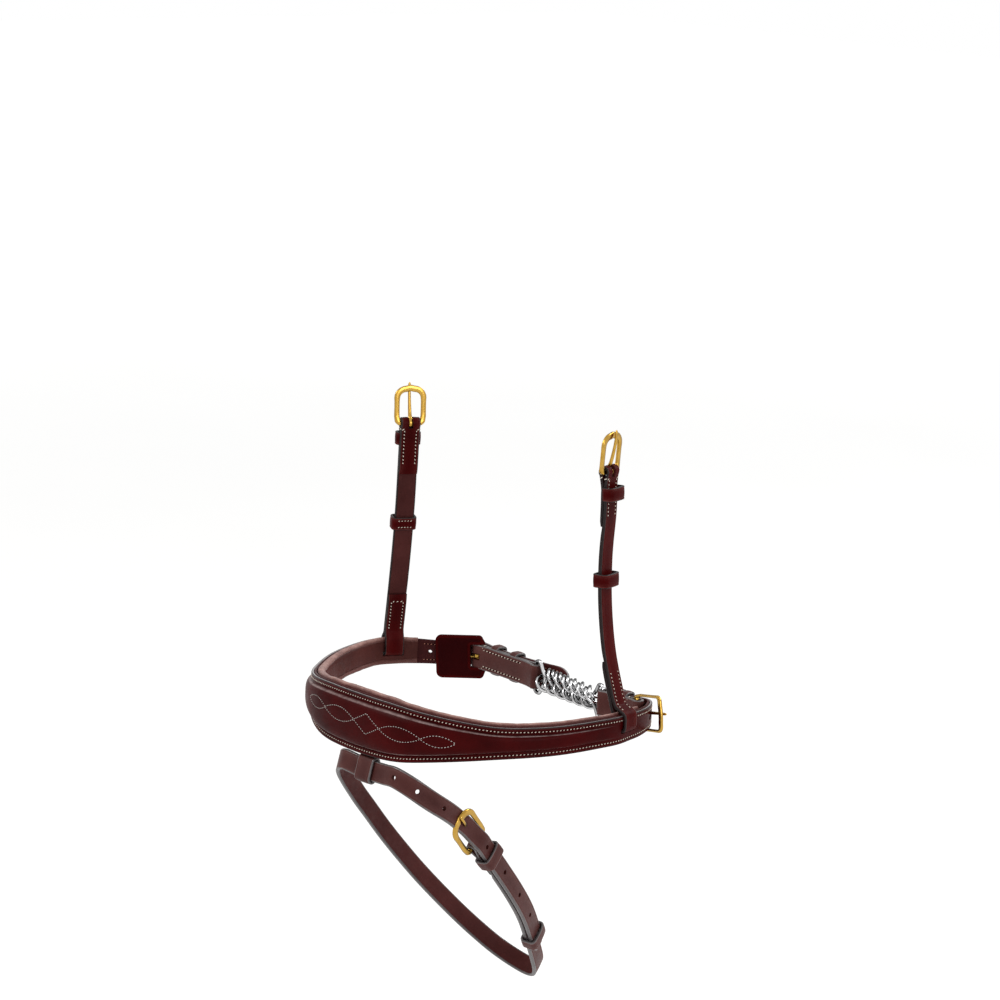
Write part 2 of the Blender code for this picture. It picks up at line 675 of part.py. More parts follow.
def make_guard_pad(hinge_mm, colours):
    """The square guard under the off-side buckle, notched where the strap comes out."""
    direction = Vector((math.cos(PAD_TURN), math.sin(PAD_TURN), 0))
    frame = axes(Vector((*hinge_mm, 0)) * MM, direction, Vector((direction.y, -direction.x, 0)))
    tall, notch = 14.6 * MM, 9.2 * MM
    outline = arc((23.5 * MM, tall - 4 * MM), 4 * MM, 0, 90, 3)
    outline += [(-2 * MM, tall), (-5.5 * MM, tall - 3.5 * MM), (-5.5 * MM, notch)]
    outline += [(1.5 * MM, notch), (2.5 * MM, notch - 1 * MM)]
    outline += [(x, -y) for x, y in outline[::-1]]
    place = frame @ Matrix.Translation((0, 0, -7.2 * MM))
    settle("guard_pad", plate([outline], 2.4 * MM), place, colours["backing"])


def end_ring_outline():
    """A tapering ring: wide at its bar in the strap's fold, narrow where the chain hangs."""
    half = arc((END_RING_CORNER, END_RING_HALF - END_RING_CORNER), END_RING_CORNER, 180, 90, 3)
    half.append((END_RING_SHOULDER, END_RING_HALF - 0.15 * MM))
    half += arc((END_RING_LENGTH - END_RING_TIP, END_RING_TIP_RISE), END_RING_TIP, 34, 0, 2)
    return half + [(x, -y) for x, y in half[::-1]]


def twisted_ring(middle, half, shift, phase):
    """Points of one chain ring: an ellipse beside its twin, twisted along its length."""
    points = []
    for k in range(RING_STEPS):
        angle = 2 * math.pi * k / RING_STEPS
        along, across = half * math.cos(angle), RING_HALF_WIDTH * math.sin(angle)
        twist = phase + RING_TWIST * along / half
        points.append(Vector((middle + along, across * math.cos(twist) - shift * math.sin(twist),
                              across * math.sin(twist) + shift * math.cos(twist))))
    return points


def make_chain(start, end, colours):
    """End rings and pairs of twisted rings from the near fold to the off fold."""
    frame = axes(start, end - start, (end - start).cross(Vector((0, 0, 1))))
    length = (end - start).length
    outline = end_ring_outline()
    settle("near_end_ring", wire_ring([Vector((x, y, 0)) for x, y in outline], END_RING_WIRE), frame,
           colours["chrome"], anchor("near_end_ring_pivot", frame))
    off_pivot = frame @ Matrix.Translation((length - END_RING_LENGTH, 0, 0))
    settle("off_end_ring", wire_ring([Vector((length - x, y, 0)) for x, y in outline], END_RING_WIRE),
           frame, colours["chrome"], anchor("off_end_ring_pivot", off_pivot))
    pitch = (length - 2 * END_RING_LENGTH - 2 * FIRST_PAIR) / (RING_PAIRS - 1)
    half = (pitch + 2 * WIRE + RING_SLACK) / 2
    for i in range(RING_PAIRS):
        middle = END_RING_LENGTH + FIRST_PAIR + pitch * i
        pivot = middle - pitch / 2 if i else END_RING_LENGTH
        home = anchor(f"ring_pair_{i + 1}_pivot", frame @ Matrix.Translation((pivot, 0, 0)))
        phase = PHASE_REACH * (2 * i / (RING_PAIRS - 1) - 1)
        for letter, shift in (("a", -PAIR_SPREAD / 2), ("b", PAIR_SPREAD / 2)):
            points = twisted_ring(middle, half, shift, phase)
            settle(f"chain_ring_{i + 1}{letter}", wire_ring(points, WIRE), frame, colours["chrome"], home)


class Flash:
    """The flash strap's path: one turn round the jaw, then a second layer over the start."""

    def __init__(self):
        hinge = Vector(FLASH_HINGE_MM) * MM
        self.loop_up = Vector((0, math.sin(FLASH_LOOP_LEAN), math.cos(FLASH_LOOP_LEAN)))
        self.top = hinge - self.loop_up * FLASH_DROP
        self.down = Vector((0, math.cos(FLASH_LEAN), -math.sin(FLASH_LEAN)))
        self.lift = Vector((0, math.sin(FLASH_LEAN), math.cos(FLASH_LEAN)))
        self.route = Route(metres(FLASH_PLAN_MM), closed=True)
        self.turn = self.route.length

    def solid_point(self, flat):
        """A point of the plan, placed in the leaning and slightly tilted plane."""
        share = min(max(flat.y / (60 * MM), 0), 1)
        tilt = FLASH_TILT * share * share * (3 - 2 * share)
        across = Vector((math.cos(tilt), 0, 0)) + self.lift * math.sin(tilt)
        swept = share * share * (3 - 2 * share) * (math.hypot(flat.x, FLASH_SWEEP_EASE) - flat.x) / 2
        return self.top + across * flat.x + self.down * flat.y + Vector((0, FLASH_SWEEP * swept, 0))

    def layer(self, place):
        """How far outward the strap lies from the plan at a length along it."""
        return blend(FLASH_LAYER_MM, (place - self.turn) / MM) * MM

    def centre(self, place):
        """Middle of the strap."""
        heading = self.route.heading(place)
        out = Vector((heading.y, -heading.x, 0))
        return self.solid_point(self.route.at(place) + out * self.layer(place))

    def stations(self, start, end):
        """Lengths at which the strap has a section: closer where it bends sharply."""
        found = [start]
        while found[-1] < end - 7 * MM:
            bend = self.route.heading(found[-1] - 1 * MM).angle(self.route.heading(found[-1] + FLASH_STEP))
            found.append(found[-1] + (FLASH_BEND_STEP if bend > FLASH_BEND else FLASH_STEP))
        return [place for place in found if place < end - 6 * MM]

    def frame(self, place):
        """x along the strap, y across it and z outward."""
        reach = 1 * MM
        along = (self.centre(place + reach) - self.centre(place - reach)).normalized()
        depth = self.route.at(place).y
        share = min(max(depth / (40 * MM), 0), 1)
        share = share * share * (3 - 2 * share)
        tilt = FLASH_TILT * share
        planar = self.lift * math.cos(tilt) - Vector((1, 0, 0)) * math.sin(tilt)
        width = self.loop_up.lerp(planar, share).normalized()
        outward = along.cross(width)
        return axes(self.centre(place), along, outward)


def make_flash(colours):
    """The flash loop under the band and the buckled strap that it carries."""
    flash = Flash()
    hinge = anchor("flash_hinge", axes(Vector(FLASH_HINGE_MM) * MM, (1, 0, 0), (0, -1, 0)))
    turned = axes(Vector(FLASH_HINGE_MM) * MM, flash.loop_up, (1, 0, 0))
    outer = (arc((0, 0), 3.6 * MM, -90, 90, 8)
             + arc((-10.2 * MM, 0), 3.6 * MM, 90, 270, 8))
    inner = rounded((-FLASH_DROP - 6.9 * MM, -1.8 * MM), (-FLASH_DROP + 6.9 * MM, 1.8 * MM), 0.8 * MM, 2)
    settle("flash_loop", plate([outer, inner], 14 * MM), turned, colours["strap"], hinge)

    start = 7 * MM
    rings = []
    end = flash.turn + FLASH_OVERLAP
    for place in flash.stations(start, end) + [end - 5 * MM, end - 2.2 * MM, end - 0.6 * MM, end]:
        frame = flash.frame(place)
        left = end - place
        half = STRAP_HALF
        if left < 8 * MM:
            half *= 0.2 + 0.8 * math.sqrt(max(0, 1 - (1 - left / (8 * MM)) ** 2))
        thin = FLASH_THICK / 2
        edge = EDGE
        outline = [(-half + edge, -thin), (half - edge, -thin), (half, -thin + edge), (half, thin - edge),
                   (half - edge, thin), (-half + edge, thin), (-half, thin - edge), (-half, -thin + edge)]
        rings.append([frame @ Vector((0, y, z)) for y, z in outline])
    strap = settle("flash_strap", loft(rings), Matrix.Identity(4), colours["strap"], hinge)

    fold = flash.frame(0)
    side_on = fold @ Matrix.Rotation(math.pi / 2, 4, "X")
    eye = [fold_outline(9 * MM, FLASH_THICK / 2, False), circle((0, 0), EYE_INNER)]
    eye_mesh = plate(eye, 2 * STRAP_HALF)
    eye_tool = cutter_of("flash_eye", eye_mesh, side_on)
    join = strap.modifiers.new("eye", "BOOLEAN")
    join.operation = "UNION"
    join.solver = "EXACT"
    join.object = eye_tool
    cut(strap, box_cutter("flash_prong_slot", (11 * MM, PRONG_SLOT, 9 * MM),
                          fold @ Matrix.Translation((-0.5 * MM, 0, 0))))

    hinge_point = fold.translation
    billet = flash.frame(flash.turn - BUCKLE_LENGTH)
    rise = FLASH_THICK / 2 + GAP + BAR_HALF + 1.2 * MM
    end_bar = billet @ Vector((0, 0, rise))
    buckle = axes(hinge_point, end_bar - hinge_point, fold.to_3x3() @ Vector((0, 0, 1)))
    make_buckle("flash", buckle, STRAP_HALF + 0.8 * MM, colours, anchor("flash_bar", buckle))
    pin = buckle @ Vector((11.5 * MM, 0, 1.3 * MM))
    drill("flash_prong_hole", [strap], pin, buckle.to_3x3() @ Vector((1, 0, 0.12)), 1.8 * MM, 13 * MM)
    for k, offset in enumerate(FLASH_HOLES_MM):
        frame = flash.frame(flash.turn + FLASH_PRONG_HOLE + offset * MM)
        drill(f"flash_hole_{k + 1}", [strap], frame.translation, frame.to_3x3() @ Vector((0, 0, 1)),
              1.5 * MM, FLASH_THICK + 1.0 * MM)
    low = -FLASH_THICK / 2 - GAP
    for kind, place in FLASH_KEEPERS_MM.items():
        where = flash.frame(place * MM)
        high = flash.layer(flash.turn + place * MM) + FLASH_THICK / 2 + 3 * GAP
        home = anchor(f"flash_{kind}_place", where)
        make_keeper(f"flash_{kind}_keeper", where, low, high, STRAP_HALF + 0.5 * MM, colours, home)


def main():
    """Build every part."""
    clear_scene()
    colours = {
        "face": material("face_leather", (0.055, 0.012, 0.012), 0.42, 0),
        "strap": material("strap_leather", (0.095, 0.032, 0.028), 0.45, 0),
        "backing": material("backing_leather", (0.060, 0.014, 0.013), 0.50, 0),
        "padding": material("padding_leather", (0.170, 0.062, 0.048), 0.60, 0),
        "brass": material("brass", (0.72, 0.47, 0.08), 0.25, 1),
        "chrome": material("chrome", (0.78, 0.78, 0.80), 0.12, 1),
    }
    band = Band()
    layers = make_band(band, colours)
    make_loop_tab(band, colours)
    make_hanger(1, "left_hanger", band, colours)
    make_hanger(-1, "right_hanger", band, colours)
    frames = []
    for side, name, hinge, fold, turn in ((1, "left", NEAR_HINGE_MM, NEAR_FOLD_MM, NEAR_BUCKLE_TURN),
                                          (-1, "right", OFF_HINGE_MM, OFF_FOLD_MM, OFF_BUCKLE_TURN)):
        frame, length = make_chin(side, name, hinge, fold, turn, band, layers[:2], colours)
        frames.append(frame @ Vector((length, 0, 0)))
        chin_keepers(name, frame, colours)
    make_guard_pad(OFF_HINGE_MM, colours)
    make_chain(frames[0], frames[1], colours)
    make_flash(colours)
    bpy.context.view_layer.update()


main()
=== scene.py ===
"""The looks of a raised leather noseband with a flash strap and a twisted chin chain.

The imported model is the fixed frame. Each class here models one sub-assembly of the noseband, dresses
it and lets it ride on its body. World frame: +Z up, the horse faces -Y, +X is its near (left) side.
"""

from __future__ import annotations

import bisect
import json
import logging
import math
from collections.abc import Callable, Iterable, Mapping, Sequence
from dataclasses import dataclass, field
from enum import Enum, IntEnum
from typing import ClassVar

import bmesh
import bpy
import numpy as np
from mathutils import Matrix, Vector
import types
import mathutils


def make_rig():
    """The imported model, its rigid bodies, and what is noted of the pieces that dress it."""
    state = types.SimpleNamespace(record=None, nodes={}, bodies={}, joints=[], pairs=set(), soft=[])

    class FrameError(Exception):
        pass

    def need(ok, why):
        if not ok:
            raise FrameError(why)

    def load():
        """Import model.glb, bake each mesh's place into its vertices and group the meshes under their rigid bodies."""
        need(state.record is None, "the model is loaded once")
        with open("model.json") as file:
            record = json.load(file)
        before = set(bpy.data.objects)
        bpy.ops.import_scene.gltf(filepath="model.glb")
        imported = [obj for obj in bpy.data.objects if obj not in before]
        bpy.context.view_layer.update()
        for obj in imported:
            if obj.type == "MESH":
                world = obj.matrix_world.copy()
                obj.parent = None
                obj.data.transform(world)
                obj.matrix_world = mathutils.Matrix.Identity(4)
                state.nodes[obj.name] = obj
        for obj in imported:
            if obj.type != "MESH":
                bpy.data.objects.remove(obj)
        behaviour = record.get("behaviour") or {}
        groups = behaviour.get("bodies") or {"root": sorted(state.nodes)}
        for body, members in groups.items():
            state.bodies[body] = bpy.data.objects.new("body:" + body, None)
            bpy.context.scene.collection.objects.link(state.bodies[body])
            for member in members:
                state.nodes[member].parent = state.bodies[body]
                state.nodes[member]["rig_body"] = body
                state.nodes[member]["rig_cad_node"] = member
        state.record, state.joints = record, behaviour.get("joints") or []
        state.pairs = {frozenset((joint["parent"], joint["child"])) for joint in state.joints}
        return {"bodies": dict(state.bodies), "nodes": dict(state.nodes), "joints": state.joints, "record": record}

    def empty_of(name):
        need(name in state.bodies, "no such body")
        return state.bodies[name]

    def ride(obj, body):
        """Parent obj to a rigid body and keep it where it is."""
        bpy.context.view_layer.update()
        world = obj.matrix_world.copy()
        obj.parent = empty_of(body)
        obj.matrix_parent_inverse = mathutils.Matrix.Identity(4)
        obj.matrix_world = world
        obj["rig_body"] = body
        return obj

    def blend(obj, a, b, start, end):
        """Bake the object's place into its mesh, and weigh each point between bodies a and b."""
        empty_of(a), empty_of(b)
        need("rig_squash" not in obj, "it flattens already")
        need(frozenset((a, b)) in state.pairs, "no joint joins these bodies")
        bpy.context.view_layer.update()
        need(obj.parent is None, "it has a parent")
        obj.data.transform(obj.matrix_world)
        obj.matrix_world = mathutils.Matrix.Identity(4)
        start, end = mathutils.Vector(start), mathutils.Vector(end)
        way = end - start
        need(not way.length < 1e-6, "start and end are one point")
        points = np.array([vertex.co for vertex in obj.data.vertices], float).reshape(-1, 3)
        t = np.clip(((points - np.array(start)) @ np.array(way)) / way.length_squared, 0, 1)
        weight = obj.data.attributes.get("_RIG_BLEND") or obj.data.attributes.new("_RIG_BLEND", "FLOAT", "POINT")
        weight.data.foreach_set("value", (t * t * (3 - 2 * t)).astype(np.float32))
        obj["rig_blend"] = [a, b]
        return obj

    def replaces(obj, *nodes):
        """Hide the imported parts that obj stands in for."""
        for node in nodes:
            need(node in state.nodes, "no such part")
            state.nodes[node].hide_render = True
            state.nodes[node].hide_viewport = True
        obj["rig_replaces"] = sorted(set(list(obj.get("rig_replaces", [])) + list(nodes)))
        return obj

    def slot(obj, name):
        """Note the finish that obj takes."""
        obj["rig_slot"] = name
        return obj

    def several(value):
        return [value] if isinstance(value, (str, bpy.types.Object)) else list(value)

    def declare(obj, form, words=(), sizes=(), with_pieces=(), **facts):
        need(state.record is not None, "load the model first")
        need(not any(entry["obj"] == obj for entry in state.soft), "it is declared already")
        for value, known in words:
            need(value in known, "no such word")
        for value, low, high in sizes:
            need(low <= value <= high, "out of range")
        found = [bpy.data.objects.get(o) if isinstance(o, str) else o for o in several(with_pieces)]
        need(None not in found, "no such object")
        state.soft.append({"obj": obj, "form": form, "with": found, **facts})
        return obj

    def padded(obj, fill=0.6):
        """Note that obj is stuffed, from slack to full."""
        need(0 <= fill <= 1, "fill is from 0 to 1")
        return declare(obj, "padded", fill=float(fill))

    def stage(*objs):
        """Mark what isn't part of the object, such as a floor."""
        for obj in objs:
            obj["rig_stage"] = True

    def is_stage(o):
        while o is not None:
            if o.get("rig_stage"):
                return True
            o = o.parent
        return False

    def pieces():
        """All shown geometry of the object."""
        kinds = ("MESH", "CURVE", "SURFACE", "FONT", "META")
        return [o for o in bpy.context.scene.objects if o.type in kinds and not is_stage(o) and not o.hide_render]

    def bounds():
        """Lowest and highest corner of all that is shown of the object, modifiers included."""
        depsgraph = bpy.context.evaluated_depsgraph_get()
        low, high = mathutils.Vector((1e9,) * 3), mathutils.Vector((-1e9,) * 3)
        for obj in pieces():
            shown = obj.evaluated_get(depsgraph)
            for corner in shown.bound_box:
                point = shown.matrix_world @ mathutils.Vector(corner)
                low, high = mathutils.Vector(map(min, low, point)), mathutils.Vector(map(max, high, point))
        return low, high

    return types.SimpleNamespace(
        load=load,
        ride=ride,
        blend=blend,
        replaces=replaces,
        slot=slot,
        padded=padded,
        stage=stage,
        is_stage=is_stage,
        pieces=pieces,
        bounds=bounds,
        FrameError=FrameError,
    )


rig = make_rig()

LOG = logging.getLogger("noseband")

Colour = tuple[float, float, float]
Flat = tuple[float, float]

MM = 0.001
GAP = 0.3 * MM
UP = Vector((0, 0, 1))
SIZE_FILE = "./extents.json"

# Nose part, as in the part's source
FRONT_PLAN_MM = [(0, -125), (42, -120), (76, -97), (102, -60), (112, -20)]
NEAR_PLAN_MM = [(110, 2), (106.5, 16), (100.5, 28), (93, 35.4), (86, 34.4), (78, 32.3), (67, 31.2)]
OFF_PLAN_MM = [(107, 0), (97, 13), (85.4, 23.8), (78, 32.6), (70.5, 42.8), (60, 41.8), (50, 40.3),
               (30, 39.5), (8, 41.0), (-2, 42.6), (-12, 44.2)]
HALF_HEIGHTS_MM = [(0, 19.4), (32, 18.8), (61, 14.7), (85, 11.7), (100, 10.2), (130, 9.6), (168, 9.3),
                   (187, 9.1), (205, 8.6), (216, 8.0), (400, 8.0)]
CENTRE_MM = [(0, -3.2), (32, -2.8), (61, -2.2), (100, -2.4), (130, -1.4), (168, 0), (400, 0)]
CROWN_MM = [(0, 4.0), (60, 3.8), (105, 2.6), (150, 1.8), (176, 0.0), (400, 0.0)]
PADDING_THICK_MM = [(0, 6.0), (100, 5.2), (155, 4.0), (175, 2.8), (400, 2.8)]
CROWN_SHARES = (0.0, 0.16, 0.32, 0.46, 0.58, 0.68, 0.77, 0.85, 0.91, 0.95, 0.98, 1.0)
MARGIN_SHARES = (0.08, 0.17, 0.27, 0.38, 0.5, 0.58, 0.66, 0.74, 0.87, 1.0)
BACKING_THICK = 1.6 * MM
FACE_THICK = 1.6 * MM
FACE_INSET = 0.4 * MM
CROWN_MARGIN = 4.8 * MM
CROWN_POWER = 3.4
CHANNEL_OFFSET = 0.35 * MM
CHANNEL_WIDTH = 0.6 * MM
CHANNEL_DEPTH = 0.6 * MM
SEAM_WIDTH = 0.55 * MM
SEAM_DEPTH = 0.16 * MM
ROW_INSET = 2.5 * MM
PADDING_GAP = 0.5 * MM
PADDING_RISE = 2.0 * MM
PADDING_END = 206 * MM
TAB_PLACE = 8 * MM
TAB_HALF = 9 * MM
TAB_THICK = 1.2 * MM
TAB_TOP = -6 * MM
TAB_LOW = -22.7 * MM
TAB_RECESS = 21 * MM
BILLET_TIP = 9 * MM
BILLET_PITCH = 22 * MM
BILLET_HOLES = {"left": (1,), "right": (-1, 1, 2, 3)}

# Straps, folds, keepers and buckles, as in the part's source
STRAP_HALF = 6.5 * MM
CHIN_HALF = 8.2 * MM
PLY = 2.2 * MM
FLASH_THICK = 2.8 * MM
FOLD_HALF = 1.9 * MM
HOLE_RADIUS = 1.9 * MM
BAR_HALF = 1.5 * MM
BUCKLE_LENGTH = 22 * MM
WIDE_LEG = 3.8 * MM
SLIM_LEG = 2.1 * MM
PRONG_SLOT = 4.2 * MM
KEEPER_WALL = 1.5 * MM
KEEPER_LENGTH = 8.5 * MM

# Hanger straps, as in the part's source
HANGER_Y = -3 * MM
HANGER_PROFILE_MM = [(-3.0, 15.7), (-9.5, 45), (-15.5, 75), (-19.5, 105), (-21.3, 135), (-22, 159)]
SLOT_MIDDLE = -0.8 * MM
SLOT_TALL = 3.2 * MM
SLOT_WIDTH = 14.4 * MM
BILLET_SPACE = 3.4 * MM

# Chin fastening, as in the part's source
CHIN_SPACE = 1.4 * MM
NEAR_HINGE_MM = (90, 29)
NEAR_FOLD_MM = (62, 26.5)
OFF_HINGE_MM = (-67, 37)
OFF_FOLD_MM = (-8, 34)
NEAR_BUCKLE_TURN = math.radians(-15)
OFF_BUCKLE_TURN = math.radians(202)
PAD_TURN = math.radians(216)

# Chin chain, as in the part's source
WIRE = 1.05 * MM
RING_HALF_WIDTH = 7.0 * MM
RING_SLACK = 1.1 * MM
PAIR_SPREAD = 3.6 * MM
RING_TWIST = math.radians(54)
PHASE_REACH = math.radians(26)
RING_PAIRS = 6
FIRST_PAIR = 2.6 * MM
END_RING_WIRE = 1.3 * MM
END_RING_LENGTH = 10 * MM
END_RING_HALF = 10.5 * MM

# Flash strap, as in the part's source
FLASH_HINGE_MM = (8, -122.2, -26.6)
FLASH_DROP = 5.1 * MM
FLASH_LEAN = math.radians(47.3)
FLASH_TILT = math.radians(12)
FLASH_LOOP_LEAN = math.radians(15)
FLASH_SWEEP = 0.3
FLASH_SWEEP_EASE = 15 * MM
FLASH_PLAN_MM = [(42.5, 72), (42.6, 88), (41.9, 103), (38.9, 128), (33.9, 151.5), (24.5, 178), (15.6, 200.4),
                 (9.8, 213.5), (4.5, 221), (-1.6, 222.9), (-9.2, 219.7), (-20.3, 210.7), (-29.6, 198.9),
                 (-39.7, 176.7), (-46.6, 151), (-50.9, 122.5), (-51.2, 90), (-48.9, 66), (-44.5, 43),
                 (-40, 30), (-35.5, 18.5), (-31.5, 9), (-27, 2), (-21, -1.8), (-15, -1.6), (-8, -0.2), (0, 0),
                 (8, 0), (17, -0.8), (28, -1.6), (40.5, 7), (45.9, 26.3), (45.3, 49)]
FLASH_LAYER_MM = [(-60, 0), (-24, -0.2), (-12, 2.2), (0, 5.8), (14, 4.2), (32, 3.7), (400, 3.7)]
FLASH_OVERLAP = 122 * MM
FLASH_PRONG_HOLE = -20.5 * MM
FLASH_HOLES_MM = (-62, -45, -23.5, 25, 52.5, 78, 101.5)
FLASH_BUCKLE_LENGTH = 27 * MM
FLASH_KEEPERS_MM = {"fixed": 14.5, "sliding": 108}


def metres(points: Iterable[Sequence[float]]) -> list[Vector]:
    """Points in millimetres as 3-D points in metres."""
    return [Vector((*p, 0)[:3]) * MM for p in points]


def blend(table: Sequence[Flat], at: float) -> float:
    """Read a table of (place, value) pairs with straight stretches between them.

    Args:
        table: Pairs in rising order of place.
        at: The place to read.

    Returns:
        The value at that place.
    """
    for (x0, y0), (x1, y1) in zip(table, table[1:]):
        if at <= x1:
            return y0 + (y1 - y0) * max(0.0, at - x0) / (x1 - x0)
    return table[-1][1]


def soft_blend(table: Sequence[Flat], at: float, reach: float) -> float:
    """The same table with its corners rounded over a reach to each side."""
    steps = (-1.0, -0.6, -0.2, 0.2, 0.6, 1.0)
    return sum(blend(table, abs(at + reach * k)) for k in steps) / len(steps)


def ease(share: float) -> float:
    """A smooth step from 0 to 1."""
    share = min(max(share, 0.0), 1.0)
    return share * share * (3 - 2 * share)


def axes(origin: Vector, along: Vector, outward: Vector) -> Matrix:
    """A frame with x along, z outward and y across.

    Args:
        origin: Where the frame sits.
        along: Direction of its x axis.
        outward: Direction near its z axis.

    Returns:
        The frame as a matrix.
    """
    x = Vector(along).normalized()
    y = Vector(outward).cross(x).normalized()
    z = x.cross(y)
    return Matrix.Translation(Vector(origin)) @ Matrix((x, y, z)).transposed().to_4x4()


def arc(centre: Flat, radius: float, start: float, end: float, steps: int) -> list[Flat]:
    """Points on an arc.

    Args:
        centre: Middle of the arc.
        radius: Its radius.
        start: First angle, in degrees.
        end: Last angle, in degrees.
        steps: How many stretches it is divided into.

    Returns:
        The points, one more than the stretches.
    """
    found = []
    for k in range(steps + 1):
        angle = math.radians(start + (end - start) * k / steps)
        found.append((centre[0] + radius * math.cos(angle), centre[1] + radius * math.sin(angle)))
    return found


def lengths(points: Sequence[Vector]) -> list[float]:
    """Measure how far along a line each of its points lies.

    Args:
        points: The line's points.

    Returns:
        One length for each point, starting with 0.
    """
    marks = [0.0]
    for a, b in zip(points, points[1:]):
        marks.append(marks[-1] + (b - a).length)
    return marks


def stretch(marks: Sequence[float], place: float) -> tuple[int, float]:
    """Find the stretch between two marks that a place lies in.

    Args:
        marks: Lengths in rising order.
        place: The length to find.

    Returns:
        The number of the mark before it, and the share of the stretch up to it, from 0 to 1.
    """
    i = min(max(bisect.bisect_left(marks, place) - 1, 0), len(marks) - 2)
    share = (place - marks[i]) / max(marks[i + 1] - marks[i], 1e-12)
    return i, min(max(share, 0.0), 1.0)


class Route:
    """A smooth curve through its control points, measured along its length."""

    def __init__(self, controls: Sequence[Vector], closed: bool = False, fine: int = 24) -> None:
        """Lay the curve.

        Args:
            controls: Points that it passes through.
            closed: Whether it comes back to its start.
            fine: Stretches between two control points.
        """
        points = [Vector(p) for p in controls]
        count = len(points)
        self.closed = closed
        self.points: list[Vector] = []
        for i in range(count if closed else count - 1):
            if closed:
                a, b, c, d = (points[(i + k) % count] for k in (-1, 0, 1, 2))
            else:
                b, c = points[i], points[i + 1]
                a = points[i - 1] if i else 2 * b - c
                d = points[i + 2] if i + 2 < count else 2 * c - b
            for k in range(fine):
                t = k / fine
                self.points.append(0.5 * (2 * b + (c - a) * t + (2 * a - 5 * b + 4 * c - d) * t ** 2
                                          + (3 * b - a - 3 * c + d) * t ** 3))
        self.points.append(points[0] if closed else points[-1])
        self.marks = lengths(self.points)
        self.length = self.marks[-1]

    def at(self, place: float) -> Vector:
        """The point at a length along the curve; a closed curve goes round again."""
        if self.closed:
            place %= self.length
        i, share = stretch(self.marks, place)
        return self.points[i].lerp(self.points[i + 1], share)

    def heading(self, place: float, reach: float = 0.8 * MM) -> Vector:
        """The unit direction of travel at a length along the curve."""
        if self.closed:
            return (self.at(place + reach) - self.at(place - reach)).normalized()
        low, high = max(0.0, place - reach), min(self.length, place + reach)
        return (self.at(high) - self.at(low)).normalized()


class Side(Enum):
    """The two sides of the horse's head."""

    NEAR = ("left", 1)
    OFF = ("right", -1)

    @property
    def word(self) -> str:
        """The word that the node names start with."""
        return self.value[0]

    @property
    def sign(self) -> int:
        """Plus one on the near side, minus one on the off side."""
        return self.value[1]


class Finish(IntEnum):
    """Which material slot of a strap a face takes."""

    GRAIN = 0
    PAINT = 1
    FLESH = 2


def runs(*pairs: tuple[Finish, int]) -> list[int]:
    """Slot numbers in order, from pairs of a finish and how many faces take it."""
    return [int(finish) for finish, count in pairs for _ in range(count)]


class NodeMaker:
    """Adds nodes to one material's or one group's tree and joins them."""

    def __init__(self, tree: bpy.types.NodeTree) -> None:
        """Keep the tree that is worked on."""
        self.tree = tree

    def add(self, kind: str, settings: dict | None = None, inputs: dict | None = None) -> bpy.types.Node:
        """Add a node.

        Args:
            kind: Blender's name of the node type.
            settings: Its own properties.
            inputs: Values or sockets for its inputs, by name or number.

        Returns:
            The node.
        """
        node = self.tree.nodes.new(kind)
        for name, value in (settings or {}).items():
            setattr(node, name, value)
        self.feed(node.inputs, inputs or {})
        return node

    def feed(self, sockets: Mapping, inputs: dict) -> None:
        """Give each named socket a value or a link.

        Args:
            sockets: Input sockets, by name or number.
            inputs: What each of them gets: a value, or a node's output socket.
        """
        for key, value in inputs.items():
            if isinstance(value, bpy.types.NodeSocket):
                self.tree.links.new(value, sockets[key])
            else:
                sockets[key].default_value = value

    def noise(self, place: bpy.types.NodeSocket, scale: float, detail: float,
              rough: float = 0.5) -> bpy.types.NodeSocket:
        """A Noise Texture node's grey value."""
        return self.add("ShaderNodeTexNoise", None, {"Vector": place, "Scale": scale, "Detail": detail,
                                                     "Roughness": rough}).outputs["Fac"]

    def math(self, operation: str, *values: float | bpy.types.NodeSocket) -> bpy.types.NodeSocket:
        """A Math node's result."""
        node = self.add("ShaderNodeMath", {"operation": operation}, dict(enumerate(values)))
        return node.outputs[0]

    def mix(self, share: float | bpy.types.NodeSocket, low: object, high: object,
            mode: str = "MIX") -> bpy.types.NodeSocket:
        """Mix two colours.

        Args:
            share: How much of the second colour shows.
            low: The first colour, as a value or a socket.
            high: The second colour.
            mode: Blender's name of the way they are mixed.

        Returns:
            The mixed colour's socket.
        """
        node = self.add("ShaderNodeMix", {"data_type": "RGBA", "blend_type": mode},
                        {0: share, 6: low, 7: high})
        return node.outputs[2]

    def span(self, value: bpy.types.NodeSocket, low: float, high: float, to_low: float | bpy.types.NodeSocket,
             to_high: float | bpy.types.NodeSocket) -> bpy.types.NodeSocket:
        """A value moved from one range to another, held at the ends."""
        node = self.add("ShaderNodeMapRange", None, {0: value, 1: low, 2: high, 3: to_low, 4: to_high})
        return node.outputs[0]


